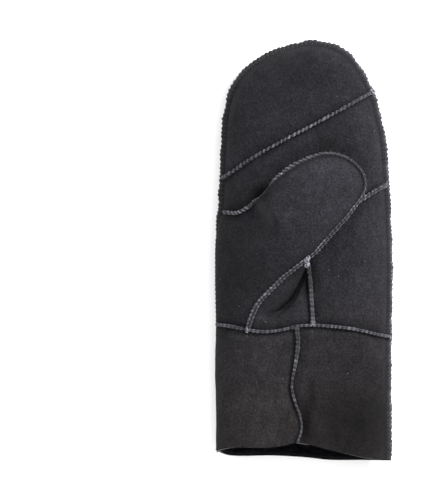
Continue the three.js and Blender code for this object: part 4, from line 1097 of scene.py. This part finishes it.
# The base seam and its threads are turned dark at its top: painted shade of the pocket below the knot.
seam("base_seam", "thumb_base_seam", on_surface(L["heel"], palm_top, 1), 103, width=3.2, cleft=0.12,
     slant=0.15, pull=0.2, gaps=0.7, light=([0, 0.3, 0.6, 1], [0.06, 0.16, 0.36, 0.5]), thread_light=0.03)
seam("cuff_seam", "cuff_palm_seam", on_surface(L["cuff_seam"], palm_top, 0, 0.3), 104, cleft=0.25, slant=0.15,
     pull=0.28, gaps=1, width=([0, 0.2, 0.45, 0.9, 1], [3.5, 3.4, 1.9, 1.7, 1.7]),
     low=([0, 0.3, 0.5, 1], [1, 1, 0.8, 0.8]), light=([0, 0.1, 0.2, 0.9, 1], [0.12, 0.25, 0.65, 0.75, 0.4]))
seam("back_seam", "back_centre_seam", on_surface(L["back_centre"], under, 0, 5, -1.0), 105, light=0.7,
     cleft=0.3)
EDGE_SEAM = {"lift": 0.2, "height": 4.2, "slant": 0.3, "cleft": 0.35, "round_off": 0.3, "gaps": 0.9,
             "foot": 0.1, "width": 3.0}
roll_start = (stops["attach_left"] - stops["waist_left"]) / (stops["waist_right"] - stops["waist_left"])
seam("edge_seam", "side_seam", outline_path(stops["waist_left"], stops["waist_right"]), 106,
     light=([0, 0.3, 0.5, 0.6, 1], [0.2, 0.3, 0.25, 0.65, 0.9]),
     crest=([0, 0.45, 0.6, 1], [0.6, 0.7, 0.5, 0.4]), pull=([0, 0.4, 0.6, 1], [0.2, 0.26, 0.26, 0.18]),
     low=([0, 0.72 * roll_start, 1.05 * roll_start, 1], [0.5, 0.5, 1, 1]), **EDGE_SEAM)
seam("cuff_edge_seam", "cuff_side_seam", outline_path(stops["waist_right"], stops["rim_right"]), 107,
     light=0.7, crest=0.45, pull=0.18, **EDGE_SEAM)
seam("waist_ridge", "waist_seam", waist_path, 108, closed=True, pitch=3.2, slant=0.12, light=0.6, cleft=0.2,
     width=2.4, pull=0.3, gaps=1.1, low=([0, 0.43, 0.49, 0.51, 0.57, 1], [1, 1, 0, 0, 1, 1]))
seam("thumb_ridge", "thumb_seam", thumb_path, 109, round_off=0.24, second=0.62, **thumb_ridge)


def crotch_path(t):
    curve = L["crotch"]
    first = 5.6 / curve.length
    p = curve.at(mix(first, 1 - 2 * first, t))
    z = palm_base(Spots(p)) + THUMB["fold_gap"] / 2
    up = np.broadcast_to(np.array([*thumb_along, 0.0]), (len(p), 3))
    return np.column_stack([p, z]), up


seam("fold_seam", "crotch_seam", crotch_path, 110, width=THUMB["fold_gap"] - 1.2)


# Wool

def fleece_ring(t, v, depth):
    level = lambda spots: palm_base(spots) - SEAM["valley"] * edge_fade(spots)
    here = cuff_ring(t, v, level)
    around = cuff_ring(t + TURN_STEP, v, level) - cuff_ring(t - TURN_STEP, v, level)
    up = cuff_ring(t, np.minimum(1, v + TURN_STEP), level) - cuff_ring(t, np.maximum(0, v - TURN_STEP), level)
    normal = unit(np.cross(up, around))
    return here - normal * np.asarray(depth)[..., None], -normal


def fleece():
    """The pile inside the cuff: a lumpy bed, and curled locks that stand on it."""
    columns, rows = 260, 64
    t, v = np.meshgrid(np.linspace(0, 1, columns, endpoint=False),
                       np.linspace(FLEECE["set_back"], FLEECE["depth"], rows) / CUFF_LENGTH)
    t, v = t.ravel(), v.ravel()
    way_round, down = t * FLEECE["round"], v * CUFF_LENGTH
    bed = SKIN + 2.6 + 0.8 * lumps(way_round, down, 2.6, 201) + 0.5 * lumps(way_round, down, 1.3, 202)
    top, _ = fleece_ring(t, v, bed)
    bottom, _ = fleece_ring(t, v, np.full(len(t), SKIN + 0.1))
    count = len(top)
    inside = grid_faces(columns, rows, closed=True)
    outside = grid_faces(columns, rows, count, closed=True)[:, ::-1]
    k = np.arange(columns)
    after = (k + 1) % columns
    last = (rows - 1) * columns
    front = np.column_stack([after, k, k + count, after + count])
    back = np.column_stack([last + k, last + after, last + after + count, last + k + count])
    make("wool_bed", np.vstack([top, bottom]), np.vstack([inside, outside, front, back]), [wool],
         nodes=["cuff_fleece"])

    rng = np.random.default_rng(211)
    locks = 5200
    t = rng.uniform(0, 1, locks)
    v = (FLEECE["set_back"] + 0.6 + FLEECE["depth"] * rng.uniform(0, 1, locks) ** 1.5 * 0.8) / CUFF_LENGTH
    base, inwards = fleece_ring(t, v, np.full(locks, SKIN + 2.0))
    side = unit(np.cross(inwards, rng.normal(size=(locks, 3))))
    other = np.cross(inwards, side)
    points = 8
    way = np.linspace(0, 1, points)
    curl = rng.uniform(0.5, 1.1, locks)[:, None]
    turns = rng.uniform(0.8, 1.5, locks)[:, None] * 2 * np.pi
    tall = rng.uniform(2.2, 3.6, locks)[:, None]
    angle = turns * way + rng.uniform(0, 6.28, locks)[:, None]
    radius = curl * np.minimum(1, way * 2.2)
    paths = base[:, None] + inwards[:, None] * (tall * way)[..., None]
    paths = curled(paths, side, other, radius, angle)
    taper = 0.36 * (1 - 0.75 * way[None] ** 2) * rng.uniform(0.8, 1.25, locks)[:, None]
    verts, faces = tubes(paths, taper, sides=3)
    make("wool_locks", verts, faces, [wool])


fleece()


# Ends of the threads, tied where seams meet

def tie(at, up, size, seed):
    """A small tangle of thread: short curls round a point."""
    rng = np.random.default_rng(seed)
    count = 9
    centre = np.asarray(at) + rng.normal(size=(count, 3)) * size * 0.32 + np.asarray(up) * size * 0.35
    a = unit(rng.normal(size=(count, 3)))
    b = unit(np.cross(a, rng.normal(size=(count, 3))))
    angle = np.linspace(0, 1, 12) * rng.uniform(3.2, 5.6, count)[:, None]
    radius = size * rng.uniform(0.35, 0.7, count)[:, None]
    return tubes(curled(centre[:, None], a, b, radius, angle), size * 0.22)


def ties():
    def on(p, height):
        p = np.asarray(p, float)[None]
        return np.array([*p[0], height(Spots(p))[0]])

    def beside(share, distance):
        return inward(np.array([share]), np.array([-distance]))[0]

    knot_at = np.array([*knot, thumb_mid(Spots(knot[None]))[0][0] + 1.0])
    out = [0.8, -0.5, 0.4]
    spots = [
        (knot_at + [0, 0.6, 0.4], out, 3.0), (knot_at + [0.6, -2.4, 0], out, 2.5),
        ([*beside(stops["upper_seam_right"], 2.0), EDGE["height"] + 1], [0.7, 0.4, 0.6], 2.4),
        (on(waist_palm.at(feet["base"]), palm_top) + [0, 0, 1.6], [0, 0, 1], 1.5),
        (on(waist_palm.at(feet["heel"]), palm_top) + [0, 0, 1.6], [0, 0, 1], 1.4),
        ([*beside(stops["waist_right"], 1.4), EDGE["height"] + 0.6], [1, 0, 0.3], 1.7),
        ([*rim_palm.at(0.012), EDGE["height"] - 1.5], [-0.3, -0.8, 0.3], 1.5),
    ]
    all_verts, all_faces, start = [], [], 0
    for seed, (at, up, size) in enumerate(spots):
        verts, faces = tie(at, up, size, 300 + seed)
        all_verts.append(verts)
        all_faces.append(faces + start)
        start += len(verts)
    pale = np.random.default_rng(399).uniform(0.7, 1.4, start)
    make("thread_ends", np.vstack(all_verts), np.vstack(all_faces), [thread], None, {"pale": pale})


ties()


# Floor, light and camera

def plain(name, colour, rough):
    material, _, shader, _ = new_material(name, colour)
    shader.inputs["Base Color"].default_value = (*colour, 1)
    shader.inputs["Roughness"].default_value = rough
    return material


floor_mesh = bpy.data.meshes.new("floor")
floor_mesh.from_pydata([(-4, -4, 0), (4, -4, 0), (4, 4, 0), (-4, 4, 0)], [], [(0, 1, 2, 3)])
floor_mesh.materials.append(plain("pale_floor", (0.93, 0.93, 0.93), 1.0))
floor = add("floor", floor_mesh)
floor.location.z = -0.0002

world = bpy.data.worlds.new("studio")
world.use_nodes = True
world.node_tree.nodes["Background"].inputs["Color"].default_value = (1, 1, 1, 1)
world.node_tree.nodes["Background"].inputs["Strength"].default_value = 1.42
bpy.context.scene.world = world


def soft_light(name, at, size, power):
    data = bpy.data.lights.new(name, "AREA")
    data.shape = "SQUARE"
    data.size = size
    data.energy = power
    light = add(name, data)
    light.location = at
    direction = -light.location
    light.rotation_mode = "QUATERNION"
    light.rotation_quaternion = direction.to_track_quat("-Z", "Y")


soft_light("key", (1.1, 0.8, 1.0), 0.7, 60)
soft_light("fill", (-0.9, -0.9, 1.4), 1.4, 6)

# The photograph looks straight down. A pixel shows 0.735 mm, and the plan's origin lies at this pixel.
PIXEL, PHOTO_SIZE, PLAN_ORIGIN = 0.735, (430, 494), (303.75, 326)
away = [PHOTO_SIZE[0] / 2 - PLAN_ORIGIN[0], PLAN_ORIGIN[1] - PHOTO_SIZE[1] / 2, 0]
middle = np.array(away) * PIXEL + shift
lens = bpy.data.cameras.new("camera")
lens.type = "ORTHO"
lens.ortho_scale = PHOTO_SIZE[1] * PIXEL / 1000
camera = add("camera", lens)
camera.location = (middle[0] / 1000, middle[1] / 1000, 1.2)
bpy.context.scene.camera = camera
bpy.context.scene.view_settings.view_transform = "Standard"
